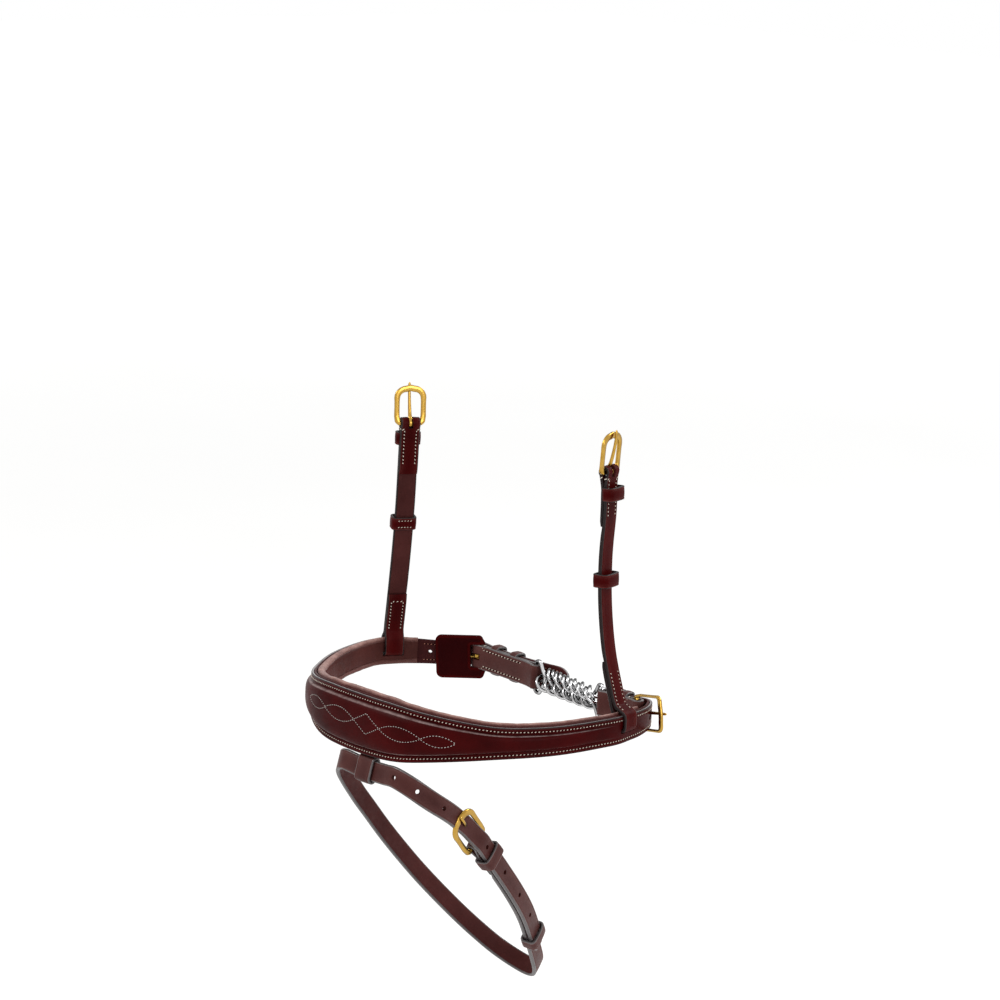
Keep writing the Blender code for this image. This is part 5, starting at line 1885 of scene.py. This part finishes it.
@dataclass
class ChinStrap:
    """One doubled chin strap between its buckle and the chain."""

    side: Side
    hinge: Vector
    fold: Vector
    turn: float
    keeper_places: tuple[float, float]
    keeper_length: float
    row_end: float
    buckle_rise: float = math.radians(-12)
    row_half: float = 5.6 * MM
    prong_mm: tuple[tuple[float, ...], ...] = (
        (2.1, -1.55, 0.62, 1.2), (3.4, -0.55, 0.9, 1.2), (6.0, 0.55, 1.1, 1.2), (12, 1.5, 1.1, 1.1),
        (20, 2.3, 0.98, 1.0), (25, 2.65, 0.92, 0.98), (29, 2.6, 0.84, 0.9), (31, 2.5, 0.6, 0.7),
        (31.8, 2.4, 0.2, 0.25))
    section: StrapSection = StrapSection(edge=0.7 * MM, line_inset=1.3 * MM, line_depth=0.15 * MM)
    frame: Matrix = field(init=False)
    length: float = field(init=False)

    def __post_init__(self) -> None:
        """Find the strap's frame: x runs from the bar to the chain, z points outward."""
        along = (self.fold - self.hinge).normalized()
        outward = Vector((-along.y, along.x, 0)) * (1 if self.side is Side.OFF else -1)
        self.frame = axes(self.hinge, along, outward)
        self.length = (self.fold - self.hinge).length

    def buckle_frame(self) -> Matrix:
        """The buckle's frame, turned to lie over the billet."""
        direction = Vector((math.cos(self.turn), math.sin(self.turn), 0))
        face_out = Vector((direction.y, -direction.x, 0)) * (1 if self.side is Side.OFF else -1)
        return axes(self.hinge, direction, face_out)

    def pin(self) -> tuple[Vector, Vector]:
        """Point and direction of the hole that the prong goes through."""
        buckle = self.buckle_frame()
        return buckle @ Vector((11.5 * MM, 0, 1.3 * MM)), buckle.to_3x3() @ Vector((1, 0, 0.12))

    def strap(self) -> None:
        """The strap as one closed loop through both folds."""
        middle = FOLD_HALF / 2
        line = [(x, middle) for x in np.linspace(self.length - 9.5 * MM, 9.5 * MM, 5)]
        line += arc((0, 0), 3.0 * MM, 50, 310, 12)
        line += [(x, -middle) for x in np.linspace(9.5 * MM, self.length - 9.5 * MM, 5)]
        line += arc((self.length, 0), 3.0 * MM, -130, 130, 12)
        plane = self.frame @ Matrix.Rotation(math.pi / 2, 4, "X")
        line = line[::-1]
        stations = plane_stations(plane, line, CHIN_HALF, lambda _: 1.82 * MM, 1.2 * MM, True, 6)
        obj = lay_strap(f"{self.side.word}_chin_strap_leather", stations, self.section,
                        strap_materials(BROWN), True)
        slot = cutter_box("chin_slot", (11 * MM, PRONG_SLOT, 12 * MM),
                          self.frame @ Matrix.Translation((-0.5 * MM, 0, 0)), 1.6 * MM)
        cut_away(obj, [slot])
        discard([slot])
        deliver(obj, "band", "strap_leather", [f"{self.side.word}_chin_strap"])

    def rows(self) -> None:
        """Two rows through both plies, starting with tacks round the edges."""
        sewing = Stitching(f"{self.side.word}_chin_stitching", CREAM, pitch=3.0 * MM, gap=1.4 * MM)
        level, turned = FOLD_HALF, self.frame.to_3x3()
        start, end = 7.0 * MM, self.length - self.row_end
        tacked = (start, end) if self.side is Side.NEAR else (start,)
        for edge in (-1, 1):
            y, rim, brink = edge * self.row_half, edge * 8.15 * MM, edge * 8.25 * MM
            for face in (1, -1):
                out = turned @ UP * face
                sewing.row([(self.frame @ Vector((float(x), y, face * level)), out)
                            for x in np.linspace(start, end, 8)])
                for x in tacked:
                    sewing.stitch(self.frame @ Vector((x, y, face * level)),
                                  self.frame @ Vector((x, rim, face * level * 0.9)), out)
            for x in tacked:
                sewing.stitch(self.frame @ Vector((x, brink, level * 0.95)),
                              self.frame @ Vector((x, brink, -level * 0.95)), turned @ Vector((0, edge, 0)))
        sewing.make("band")

    def build(self) -> None:
        """Make the strap, its buckle and its keepers."""
        word = self.side.word
        self.strap()
        self.rows()
        raised = self.buckle_frame() @ Matrix.Rotation(self.buckle_rise, 4, "Z")
        buckle = Buckle(raised, CHIN_HALF + 1.5 * MM, SLIM_LEG, corner=3 * MM, end_width=3.4 * MM,
                        length=28 * MM, prong_mm=self.prong_mm)
        buckle.build(f"{word}_chin", "band", "band")
        low = KEEPER_WALL / 2
        high = FOLD_HALF + GAP + BACKING_THICK + GAP + FACE_THICK + CHIN_SPACE
        for kind, place, body in zip(("fixed", "sliding"), self.keeper_places,
                                     ("band", f"{word}_chin_slider")):
            where = self.frame @ Matrix.Translation((place, 0, 0))
            keeper = Keeper(where, low, high, CHIN_HALF, self.keeper_length, BROWN)
            keeper.build(f"{word}_chin_{kind}_keeper_leather", body, f"{word}_chin_{kind}_keeper")


@dataclass
class GuardPad:
    """The square guard under the off-side buckle, notched where the strap comes out."""

    thick: float = 2.4 * MM
    tall: float = 14.7 * MM
    upper_notch: float = 8.4 * MM
    lower_notch: float = 7.2 * MM
    level: float = 3.8 * MM
    turn: float = math.radians(4)

    def half_outline(self, notch: float) -> list[Flat]:
        """Half of the outline, from the far side round the ear to the notch's end.

        Args:
            notch: Half the height of the notch on this side.

        Returns:
            The corners, in order.
        """
        half = arc((23.5 * MM, self.tall - 4 * MM), 4 * MM, 0, 90, 6)
        half += [(x * MM, self.tall) for x in (18, 13, 8, 3)]
        half += arc((-2.0 * MM, self.tall - 2.6 * MM), 2.6 * MM, 90, 150, 3)
        half += [(x * MM, notch) for x in (-6.9, -1.5, 1.5)]
        half += arc((2.8 * MM, notch - 1.2 * MM), 1.2 * MM, 90, 0, 3)
        return half + [(4.0 * MM, 4 * MM)]

    def build(self) -> None:
        """Draw the outline, fill it and raise its border, a pressed line and a soft middle."""
        direction = Vector((math.cos(PAD_TURN), math.sin(PAD_TURN), 0))
        frame = axes(Vector((*OFF_HINGE_MM, 0)) * MM, direction, Vector((-direction.y, direction.x, 0)))
        frame = frame @ Matrix.Rotation(self.turn, 4, "Z")
        upper = self.half_outline(self.upper_notch)
        outline = self.half_outline(self.lower_notch) + [(x, -y) for x, y in upper[::-1]]
        deselect()
        bpy.ops.mesh.primitive_circle_add(vertices=len(outline), fill_type="NGON")
        obj = bpy.context.object
        obj.name = "guard_pad_leather"
        for vertex, (x, y) in zip(obj.data.vertices, outline):
            vertex.co = (x, y, 0)
        bpy.ops.object.mode_set(mode="EDIT")
        bpy.ops.mesh.select_all(action="SELECT")
        bpy.ops.mesh.normals_make_consistent(inside=False)
        bpy.ops.mesh.extrude_region_move(TRANSFORM_OT_translate={"value": (0, 0, self.thick - 1.0 * MM)})
        for inset, rise in ((0.2, 0.28), (0.3, 0.17), (0.35, 0.05), (0.4, 0.0), (0.15, -0.14), (0.15, -0.12),
                            (0.15, 0.12), (0.2, 0.2)):
            bpy.ops.mesh.inset(thickness=inset * MM, depth=rise * MM)
        bpy.ops.object.mode_set(mode="OBJECT")
        self.close(obj, frame)

    def close(self, obj: bpy.types.Object, frame: Matrix) -> None:
        """Close the pad's back, round its rim and set it in place.

        Args:
            obj: The pad, open at its back.
            frame: Where it goes, with its outer side along z.
        """
        work = bmesh.new()
        work.from_mesh(obj.data)
        bmesh.ops.holes_fill(work, edges=[e for e in work.edges if len(e.link_faces) == 1])
        bmesh.ops.remove_doubles(work, verts=work.verts, dist=0.002 * MM)
        bmesh.ops.recalc_face_normals(work, faces=work.faces)
        work.to_mesh(obj.data)
        work.free()
        bevel = obj.modifiers.new("rim", "BEVEL")
        bevel.width = 0.35 * MM
        bevel.segments = 3
        bevel.limit_method = "ANGLE"
        bevel.angle_limit = math.radians(60)
        only(obj)
        bpy.ops.object.modifier_apply(modifier="rim")
        top = max(v.co.z for v in obj.data.vertices)
        obj.data.transform(frame @ Matrix.Translation((0, 0, self.level + self.thick / 2 - top)))
        for one in (GUARD.make(), PAINT.make(), STRAP.make()):
            obj.data.materials.append(one)
        up = frame.to_3x3() @ UP
        for polygon in obj.data.polygons:
            border = 0 if polygon.area > 0.0003 else 2
            polygon.material_index = 1 if abs(polygon.normal.dot(up)) < 0.3 else border
        smooth_by_angle(obj, 40)
        deliver(obj, "band", "backing_leather", ["guard_pad"])


@dataclass
class ChinChain:
    """Two tapering end rings and pairs of twisted rings between the chin straps."""

    start: Vector
    end: Vector
    steps: int = 72
    sides: int = 14
    frame: Matrix = field(init=False)

    def wire(self, name: str, points: Sequence[Vector], radius: float, body: str, node: str) -> None:
        """Bend a closed ring of round wire.

        Args:
            name: The piece's name.
            points: The wire's middle line.
            radius: Half the wire's thickness.
            body: The body that it rides on.
            node: The CAD node that it stands for.
        """
        count = len(points)
        rings, dirt_and_painted_shade = [], []
        middle = sum(points, Vector()) / count
        lead = Vector((0, 0, 1))
        for i, point in enumerate(points):
            heading = (points[(i + 1) % count] - points[i - 1]).normalized()
            lead = (lead - heading * lead.dot(heading)).normalized()
            side = heading.cross(lead)
            rings.append([self.frame @ (point + lead * radius * math.cos(2 * math.pi * k / self.sides)
                                        + side * radius * math.sin(2 * math.pi * k / self.sides))
                          for k in range(self.sides)])
        first = rings[0]
        heading = (points[0] - points[-1]).normalized()
        carried = (lead - heading * lead.dot(heading)).normalized()
        probe = self.frame @ (points[0] + carried * radius)
        turn = min(range(self.sides), key=lambda k: (first[k] - probe).length)
        for i, ring in enumerate(rings):
            shift = -turn * i / count
            point = points[i]
            heading = (points[(i + 1) % count] - points[i - 1]).normalized()
            spin = Matrix.Rotation(shift * 2 * math.pi / self.sides, 3, heading)
            base = self.frame @ point
            turned = self.frame.to_3x3() @ spin @ self.frame.to_3x3().inverted()
            rings[i] = [base + turned @ (p - base) for p in ring]
            inward = (self.frame.to_3x3() @ (middle - point)).normalized()
            # Painted shade on the inner side of each ring, the side that faces the ring's middle.
            dirt_and_painted_shade.append([0.85 * ease(((p - base).normalized().dot(inward) - 0.1) / 0.8) for p in rings[i]])
        obj = skin(name, rings, [CHROME.make()], None, True, dirt_and_painted_shade, 80)
        deliver(obj, body, "chrome", [node])

    def end_line(self) -> list[Vector]:
        """The middle line of an end ring: wide at its bar, narrow where the chain hangs."""
        corner, half = 2.5 * MM, END_RING_HALF
        side = arc((corner, half - corner), corner, 180, 90, 6)
        side.append((4.6 * MM, half - 0.15 * MM))
        side += [(6.0 * MM, half - 2.2 * MM), (7.6 * MM, half - 5.0 * MM)]
        side += arc((END_RING_LENGTH - 3.0 * MM, 1.4 * MM), 3.0 * MM, 34, 0, 3)
        line = side + [(x, -y) for x, y in side[::-1]]
        smooth = Route([Vector((x, y, 0)) for x, y in line], True, 4)
        return smooth.points[:-1]

    def ring_line(self, middle: float, half: float, shift: float, phase: float) -> list[Vector]:
        """Draw the middle line of one ring: an ellipse beside its twin, twisted along its length.

        Args:
            middle: How far along the chain the ring's middle is.
            half: Half the ring's length.
            shift: Distance from the pair's own middle plane.
            phase: How far the pair is turned about the chain.

        Returns:
            The points.
        """
        points = []
        for k in range(self.steps):
            angle = 2 * math.pi * k / self.steps
            along, across = half * math.cos(angle), RING_HALF_WIDTH * math.sin(angle)
            twist = phase + RING_TWIST * along / half
            points.append(Vector((middle + along, across * math.cos(twist) - shift * math.sin(twist),
                                  across * math.sin(twist) + shift * math.cos(twist))))
        return points

    def build(self) -> None:
        """Bend every ring."""
        along = self.end - self.start
        self.frame = axes(self.start, along, along.cross(UP))
        length = along.length
        line = self.end_line()
        self.wire("near_end_ring_chrome", line, END_RING_WIRE, "near_end_ring", "near_end_ring")
        mirrored = [Vector((length - p.x, p.y, 0)) for p in line]
        self.wire("off_end_ring_chrome", mirrored, END_RING_WIRE, "off_end_ring", "off_end_ring")
        pitch = (length - 2 * END_RING_LENGTH - 2 * FIRST_PAIR) / (RING_PAIRS - 1)
        half = (pitch + 2 * WIRE + RING_SLACK) / 2
        for i in range(RING_PAIRS):
            middle = END_RING_LENGTH + FIRST_PAIR + pitch * i
            phase = PHASE_REACH * (2 * i / (RING_PAIRS - 1) - 1)
            for letter, shift in (("a", -PAIR_SPREAD / 2), ("b", PAIR_SPREAD / 2)):
                points = self.ring_line(middle, half, shift, phase)
                self.wire(f"chain_ring_{i + 1}{letter}_chrome", points, WIRE, f"ring_pair_{i + 1}",
                          f"chain_ring_{i + 1}{letter}")


class FlashStrap:
    """The flash loop under the band and the buckled strap that it carries."""

    def __init__(self) -> None:
        """Lay the strap's path: one turn round the jaw, then a second layer over the start."""
        hinge = Vector(FLASH_HINGE_MM) * MM
        self.loop_up = Vector((0, math.sin(FLASH_LOOP_LEAN), math.cos(FLASH_LOOP_LEAN)))
        self.top = hinge - self.loop_up * FLASH_DROP
        self.down = Vector((0, math.cos(FLASH_LEAN), -math.sin(FLASH_LEAN)))
        self.lift = Vector((0, math.sin(FLASH_LEAN), math.cos(FLASH_LEAN)))
        self.route = Route(metres(FLASH_PLAN_MM), closed=True)
        self.turn = self.route.length
        self.end = self.turn + FLASH_OVERLAP
        self.section = StrapSection(edge=0.9 * MM, line_inset=1.6 * MM, line_depth=0.24 * MM)
        self.prong_mm = ((2.1, -1.55, 0.62, 1.05), (3.4, -1.3, 0.9, 1.08), (5.2, -0.9, 1.1, 1.1),
                         (8.5, -0.8, 1.1, 1.08), (12.5, -0.9, 1.05, 1.04), (16.0, -0.8, 1.0, 1.0),
                         (18.5, -0.2, 0.98, 1.0), (20.5, 0.8, 0.95, 1.0), (22.5, 1.6, 0.92, 0.98),
                         (25.0, 2.1, 0.9, 0.96), (28.0, 2.25, 0.84, 0.92), (30.0, 2.1, 0.7, 0.8),
                         (31.0, 1.95, 0.45, 0.55), (31.3, 1.9, 0.15, 0.2))

    def solid_point(self, flat: Vector) -> Vector:
        """A point of the plan, placed in the leaning, slightly tilted and swept plane."""
        share = ease(flat.y / (60 * MM))
        tilt = FLASH_TILT * share
        across = Vector((math.cos(tilt), 0, 0)) + self.lift * math.sin(tilt)
        swept = share * (math.hypot(flat.x, FLASH_SWEEP_EASE) - flat.x) / 2
        return self.top + across * flat.x + self.down * flat.y + Vector((0, FLASH_SWEEP * swept, 0))

    def layer(self, place: float) -> float:
        """How far outward the strap lies from the plan at a length along it."""
        at = (place - self.turn) / MM
        return sum(blend(FLASH_LAYER_MM, at + k) for k in (-1, 0, 1)) / 3 * MM

    def centre(self, place: float) -> Vector:
        """Middle of the strap."""
        heading = self.route.heading(place)
        out = Vector((heading.y, -heading.x, 0))
        return self.solid_point(self.route.at(place) + out * self.layer(place))

    def frame(self, place: float, reach: float = 1 * MM) -> Matrix:
        """x along the strap, y across it and z outward."""
        along = (self.centre(place + reach) - self.centre(place - reach)).normalized()
        share = ease(self.route.at(place).y / (40 * MM))
        tilt = FLASH_TILT * share
        planar = self.lift * math.cos(tilt) - Vector((1, 0, 0)) * math.sin(tilt)
        width = self.loop_up.lerp(planar, share).normalized()
        return axes(self.centre(place), along, along.cross(width))

    def stations(self) -> list[Station]:
        """Stations from the folded flap round the bar and along the whole strap to its tip."""
        found = []
        half_thick = FLASH_THICK / 2
        for place, low in ((27, -0.9), (25, -1.35), (19, -1.4), (13, -1.4), (9.5, -1.4)):
            frame = self.frame(place * MM, 2 * MM) @ Matrix.Rotation(math.pi, 4, "Y")
            wall = (low + 0.05) * MM
            found.append(Station(frame, STRAP_HALF, 0.05 * MM, -wall))
        fold = self.frame(0.0, 2 * MM)
        line = arc((0, 0), 3.0 * MM, -50, -310, 13)
        for x, z in line:
            out = Vector((x, 0, z)).normalized()
            along = Vector((out.z, 0, -out.x))
            point = fold @ Vector((x, 0, z))
            found.append(Station(axes(point, fold.to_3x3() @ along, fold.to_3x3() @ out), STRAP_HALF,
                                 -0.88 * MM, 0.88 * MM))
        for place, low in ((9.5, 0.02), (13, 0.02), (19, 0.02), (26, 0.0), (28, -0.5), (31, -1.4)):
            found.append(Station(self.frame(place * MM, 2 * MM), STRAP_HALF, low * MM, half_thick))
        places = [34 * MM]
        while places[-1] < self.end - 12 * MM:
            bend = self.route.heading(places[-1]).angle(self.route.heading(places[-1] + 3 * MM))
            places.append(places[-1] + (1.1 if bend > math.radians(8) else 2.8) * MM)
        places += [self.end - left * MM for left in (9, 8, 6.8, 5.6, 4.4, 3.3, 2.3, 1.4, 0.7, 0.25, 0.02)]
        for place in places:
            left = self.end - place
            half = STRAP_HALF
            if left < 8 * MM:
                half *= 0.12 + 0.88 * math.sqrt(max(0.0, 1 - (1 - left / (8 * MM)) ** 2))
            squeeze = min(1.0, 0.55 + left / (2.2 * MM))
            found.append(Station(self.frame(place), half, -half_thick * squeeze, half_thick * squeeze))
        return found

    def strap(self) -> None:
        """The strap with its holes and slot."""
        obj = lay_strap("flash_strap_leather", self.stations(), self.section, strap_materials(BROWN))
        fold = self.frame(0.0)
        cutters = [cutter_box("flash_slot", (11 * MM, PRONG_SLOT, 9 * MM),
                              fold @ Matrix.Translation((-0.5 * MM, 0, 0)), 1.6 * MM)]
        for offset in FLASH_HOLES_MM:
            frame = self.frame(self.turn + FLASH_PRONG_HOLE + offset * MM)
            cutters.append(cutter_round("flash_hole", 1.5 * MM, FLASH_THICK + 1.4 * MM, frame))
        pin = self.buckle_frame() @ Matrix.Translation((19.5 * MM, -0.6 * MM, 0))
        along = pin.to_3x3() @ Vector((1, 0, 0.5))
        turned = axes(pin.translation, along, pin.to_3x3() @ UP) @ Matrix.Rotation(math.pi / 2, 4, "Y")
        cutters.append(cutter_round("flash_pin", 1.3 * MM, 7 * MM, turned))
        cut_away(obj, cutters)
        discard(cutters)
        deliver(obj, "flash", "strap_leather", ["flash_strap"])

    def buckle_frame(self) -> Matrix:
        """The buckle's frame, from the fold to its end bar over the billet."""
        fold = self.frame(0.0)
        billet = self.frame(self.turn - FLASH_BUCKLE_LENGTH)
        rise = FLASH_THICK / 2 + GAP + BAR_HALF + 1 * MM
        end_bar = billet @ Vector((0, 0, rise))
        made = axes(fold.translation, end_bar - fold.translation, fold.to_3x3() @ UP)
        return made @ Matrix.Rotation(math.radians(5), 4, "Y") @ Matrix.Rotation(math.radians(-9), 4, "X")

    def loop(self) -> None:
        """The loop that hangs under the band."""
        turned = axes(Vector(FLASH_HINGE_MM) * MM, self.loop_up, Vector((1, 0, 0)))
        line = arc((0, 0), 2.7 * MM, -90, 90, 8) + [(-5.1 * MM, 2.7 * MM)]
        line += arc((-10.2 * MM, 0), 2.7 * MM, 90, 270, 8) + [(-5.1 * MM, -2.7 * MM)]
        stations = plane_stations(turned, line[::-1], 7 * MM, lambda _: 1.75 * MM, 0.9 * MM, True, 6)
        obj = lay_strap("flash_loop_leather", stations, self.section, strap_materials(BROWN), True)
        deliver(obj, "flash", "strap_leather", ["flash_loop"])

    def build(self) -> None:
        """Make the loop, the strap, its buckle and its keepers."""
        self.loop()
        self.strap()
        buckle = Buckle(self.buckle_frame(), STRAP_HALF + 1 * MM, WIDE_LEG, corner=7.5 * MM,
                        end_width=5.2 * MM, length=FLASH_BUCKLE_LENGTH, prong_mm=self.prong_mm)
        buckle.build("flash", "flash", "flash")
        low = -FLASH_THICK / 2 - GAP
        for (kind, at), body in zip(FLASH_KEEPERS_MM.items(), ("flash", "flash_slider")):
            place = at * MM
            high = self.layer(self.turn + place) + FLASH_THICK / 2 + 3 * GAP
            keeper = Keeper(self.frame(place), low, high, STRAP_HALF + 0.5 * MM, grain=BROWN)
            keeper.build(f"flash_{kind}_keeper_leather", body, f"flash_{kind}_keeper")


@dataclass
class Studio:
    """Plain pale floor, soft lamps and the camera at the photograph's angle."""

    azimuth: float = 46.0
    elevation: float = 15.5
    distance: float = 2.1
    lens: float = 117.18
    pitch: float = 12.23
    yaw: float = 46.27
    roll: float = 2.7
    floor_level: float = -0.290

    def camera(self) -> None:
        """Set the camera."""
        made = bpy.data.cameras.new("camera")
        made.lens = self.lens
        made.sensor_width = 36.0
        obj = bpy.data.objects.new("camera", made)
        turn, rise = math.radians(self.azimuth), math.radians(self.elevation)
        obj.location = Vector((math.sin(turn) * math.cos(rise), -math.cos(turn) * math.cos(rise),
                               math.sin(rise))) * self.distance
        aim = (Matrix.Rotation(math.radians(self.yaw), 3, "Z")
               @ Matrix.Rotation(math.radians(90 - self.pitch), 3, "X")
               @ Matrix.Rotation(math.radians(self.roll), 3, "Z"))
        obj.rotation_euler = aim.to_euler()
        bpy.context.scene.collection.objects.link(obj)
        bpy.context.scene.camera = obj

    def lamp(self, name: str, place: Sequence[float], size: float, power: float, colour: Colour) -> None:
        """Set a square soft lamp that faces the object.

        Args:
            name: The lamp's name.
            place: Where it stands.
            size: The length of its sides.
            power: Its power in watts.
            colour: The colour of its light.
        """
        made = bpy.data.lights.new(name, "AREA")
        made.shape = "SQUARE"
        made.size = size
        made.energy = power
        made.color = colour
        obj = bpy.data.objects.new(name, made)
        obj.location = place
        obj.rotation_euler = (Vector((0, -0.02, 0.0)) - Vector(place)).to_track_quat("-Z", "Y").to_euler()
        bpy.context.scene.collection.objects.link(obj)

    @staticmethod
    def seen(maker: NodeMaker) -> bpy.types.NodeSocket:
        """One for rays that show the background: from the camera, in gloss and through glass."""
        path = maker.add("ShaderNodeLightPath").outputs
        direct = maker.math("MAXIMUM", path["Is Camera Ray"], path["Is Transmission Ray"])
        return maker.math("MAXIMUM", direct, path["Is Glossy Ray"])

    def floor(self) -> None:
        """A wide pale floor that fades to white away from the object."""
        deselect()
        bpy.ops.mesh.primitive_grid_add(x_subdivisions=8, y_subdivisions=8, size=16,
                                        location=(0, 0, self.floor_level))
        obj = bpy.context.object
        obj.name = "floor"
        obj.data.transform(obj.matrix_world)
        obj.matrix_world = Matrix.Identity(4)
        made, maker, shader = new_material("pale_floor")
        place = maker.add("ShaderNodeTexCoord").outputs["Object"]
        tone = maker.mix(maker.noise(place, 3.0, 3.0), (0.84, 0.84, 0.83, 1), (0.88, 0.88, 0.875, 1))
        away = maker.add("ShaderNodeVectorMath", {"operation": "LENGTH"}, {0: place}).outputs["Value"]
        glow = maker.span(away, 0.8, 4.0, 0.3, 0.75)
        maker.feed(shader.inputs, {"Base Color": tone, "Roughness": 0.85, "Specular IOR Level": 0.0,
                                   "Emission Color": (1.0, 1.0, 1.0, 1),
                                   "Emission Strength": maker.math("MULTIPLY", self.seen(maker), glow)})
        obj.data.materials.append(made)
        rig.stage(obj)

    def world(self) -> None:
        """Even light from all round, seen as white by the camera and in gloss."""
        world = bpy.data.worlds.new("studio")
        world.use_nodes = True
        maker = NodeMaker(world.node_tree)
        back = world.node_tree.nodes["Background"]
        bright = maker.span(self.seen(maker), 0.0, 1.0, 0.38, 1.0)
        maker.feed(back.inputs, {"Strength": bright, "Color": (1.0, 1.0, 1.0, 1)})
        bpy.context.scene.world = world

    def build(self) -> None:
        """Set up everything round the object."""
        bpy.context.scene.view_settings.view_transform = "Standard"
        self.camera()
        self.world()
        self.floor()
        self.lamp("key", (-0.9, -1.7, 1.5), 0.8, 26.0, (1.0, 0.99, 0.97))
        self.lamp("fill", (1.9, -0.4, 0.7), 0.9, 12.0, (0.97, 0.98, 1.0))
        self.lamp("rim", (0.5, 1.5, 1.3), 0.7, 20.0, (1.0, 1.0, 1.0))


def corners(pair: tuple[Vector, Vector]) -> list[list[float]]:
    """A box as plain lists of numbers."""
    return [list(pair[0]), list(pair[1])]


def main() -> None:
    """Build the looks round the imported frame."""
    logging.basicConfig(level=logging.INFO, format="%(name)s %(message)s")
    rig.load()
    before = corners(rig.bounds())
    band = Band()
    chins = [ChinStrap(Side.NEAR, *metres([NEAR_HINGE_MM, NEAR_FOLD_MM]), NEAR_BUCKLE_TURN,
                       (11.8 * MM, 18.2 * MM), keeper_length=5.4 * MM, row_end=8.0 * MM),
             ChinStrap(Side.OFF, *metres([OFF_HINGE_MM, OFF_FOLD_MM]), OFF_BUCKLE_TURN,
                       (17 * MM, 36 * MM), keeper_length=6.5 * MM, row_end=12.5 * MM)]
    holes, pins = [], []
    for chin in chins:
        pins.append(chin.pin())
        for k in BILLET_HOLES[chin.side.word]:
            holes.append(band.frame(band.nearest(chin.pin()[0]) + chin.side.sign * k * BILLET_PITCH))
    NosePart(band).build(holes, pins)
    HangerStrap(Side.OFF, band).build()
    HangerStrap(Side.NEAR, band, bow_mm=(-4, -6.2, -5, -2.5, 0.5, 0), lean_mm=((9.8, 0.0), (13.4, -2.8)),
                fixed_place=13.5 * MM, slider_room=1.75 * MM).build()
    for chin in chins:
        chin.build()
    GuardPad().build()
    ChinChain(chins[0].fold, chins[1].fold).build()
    FlashStrap().build()
    Studio().build()
    with open(SIZE_FILE, "w") as out:
        json.dump({"cad": before, "visual": corners(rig.bounds())}, out)


if __name__ == "__main__":
    main()
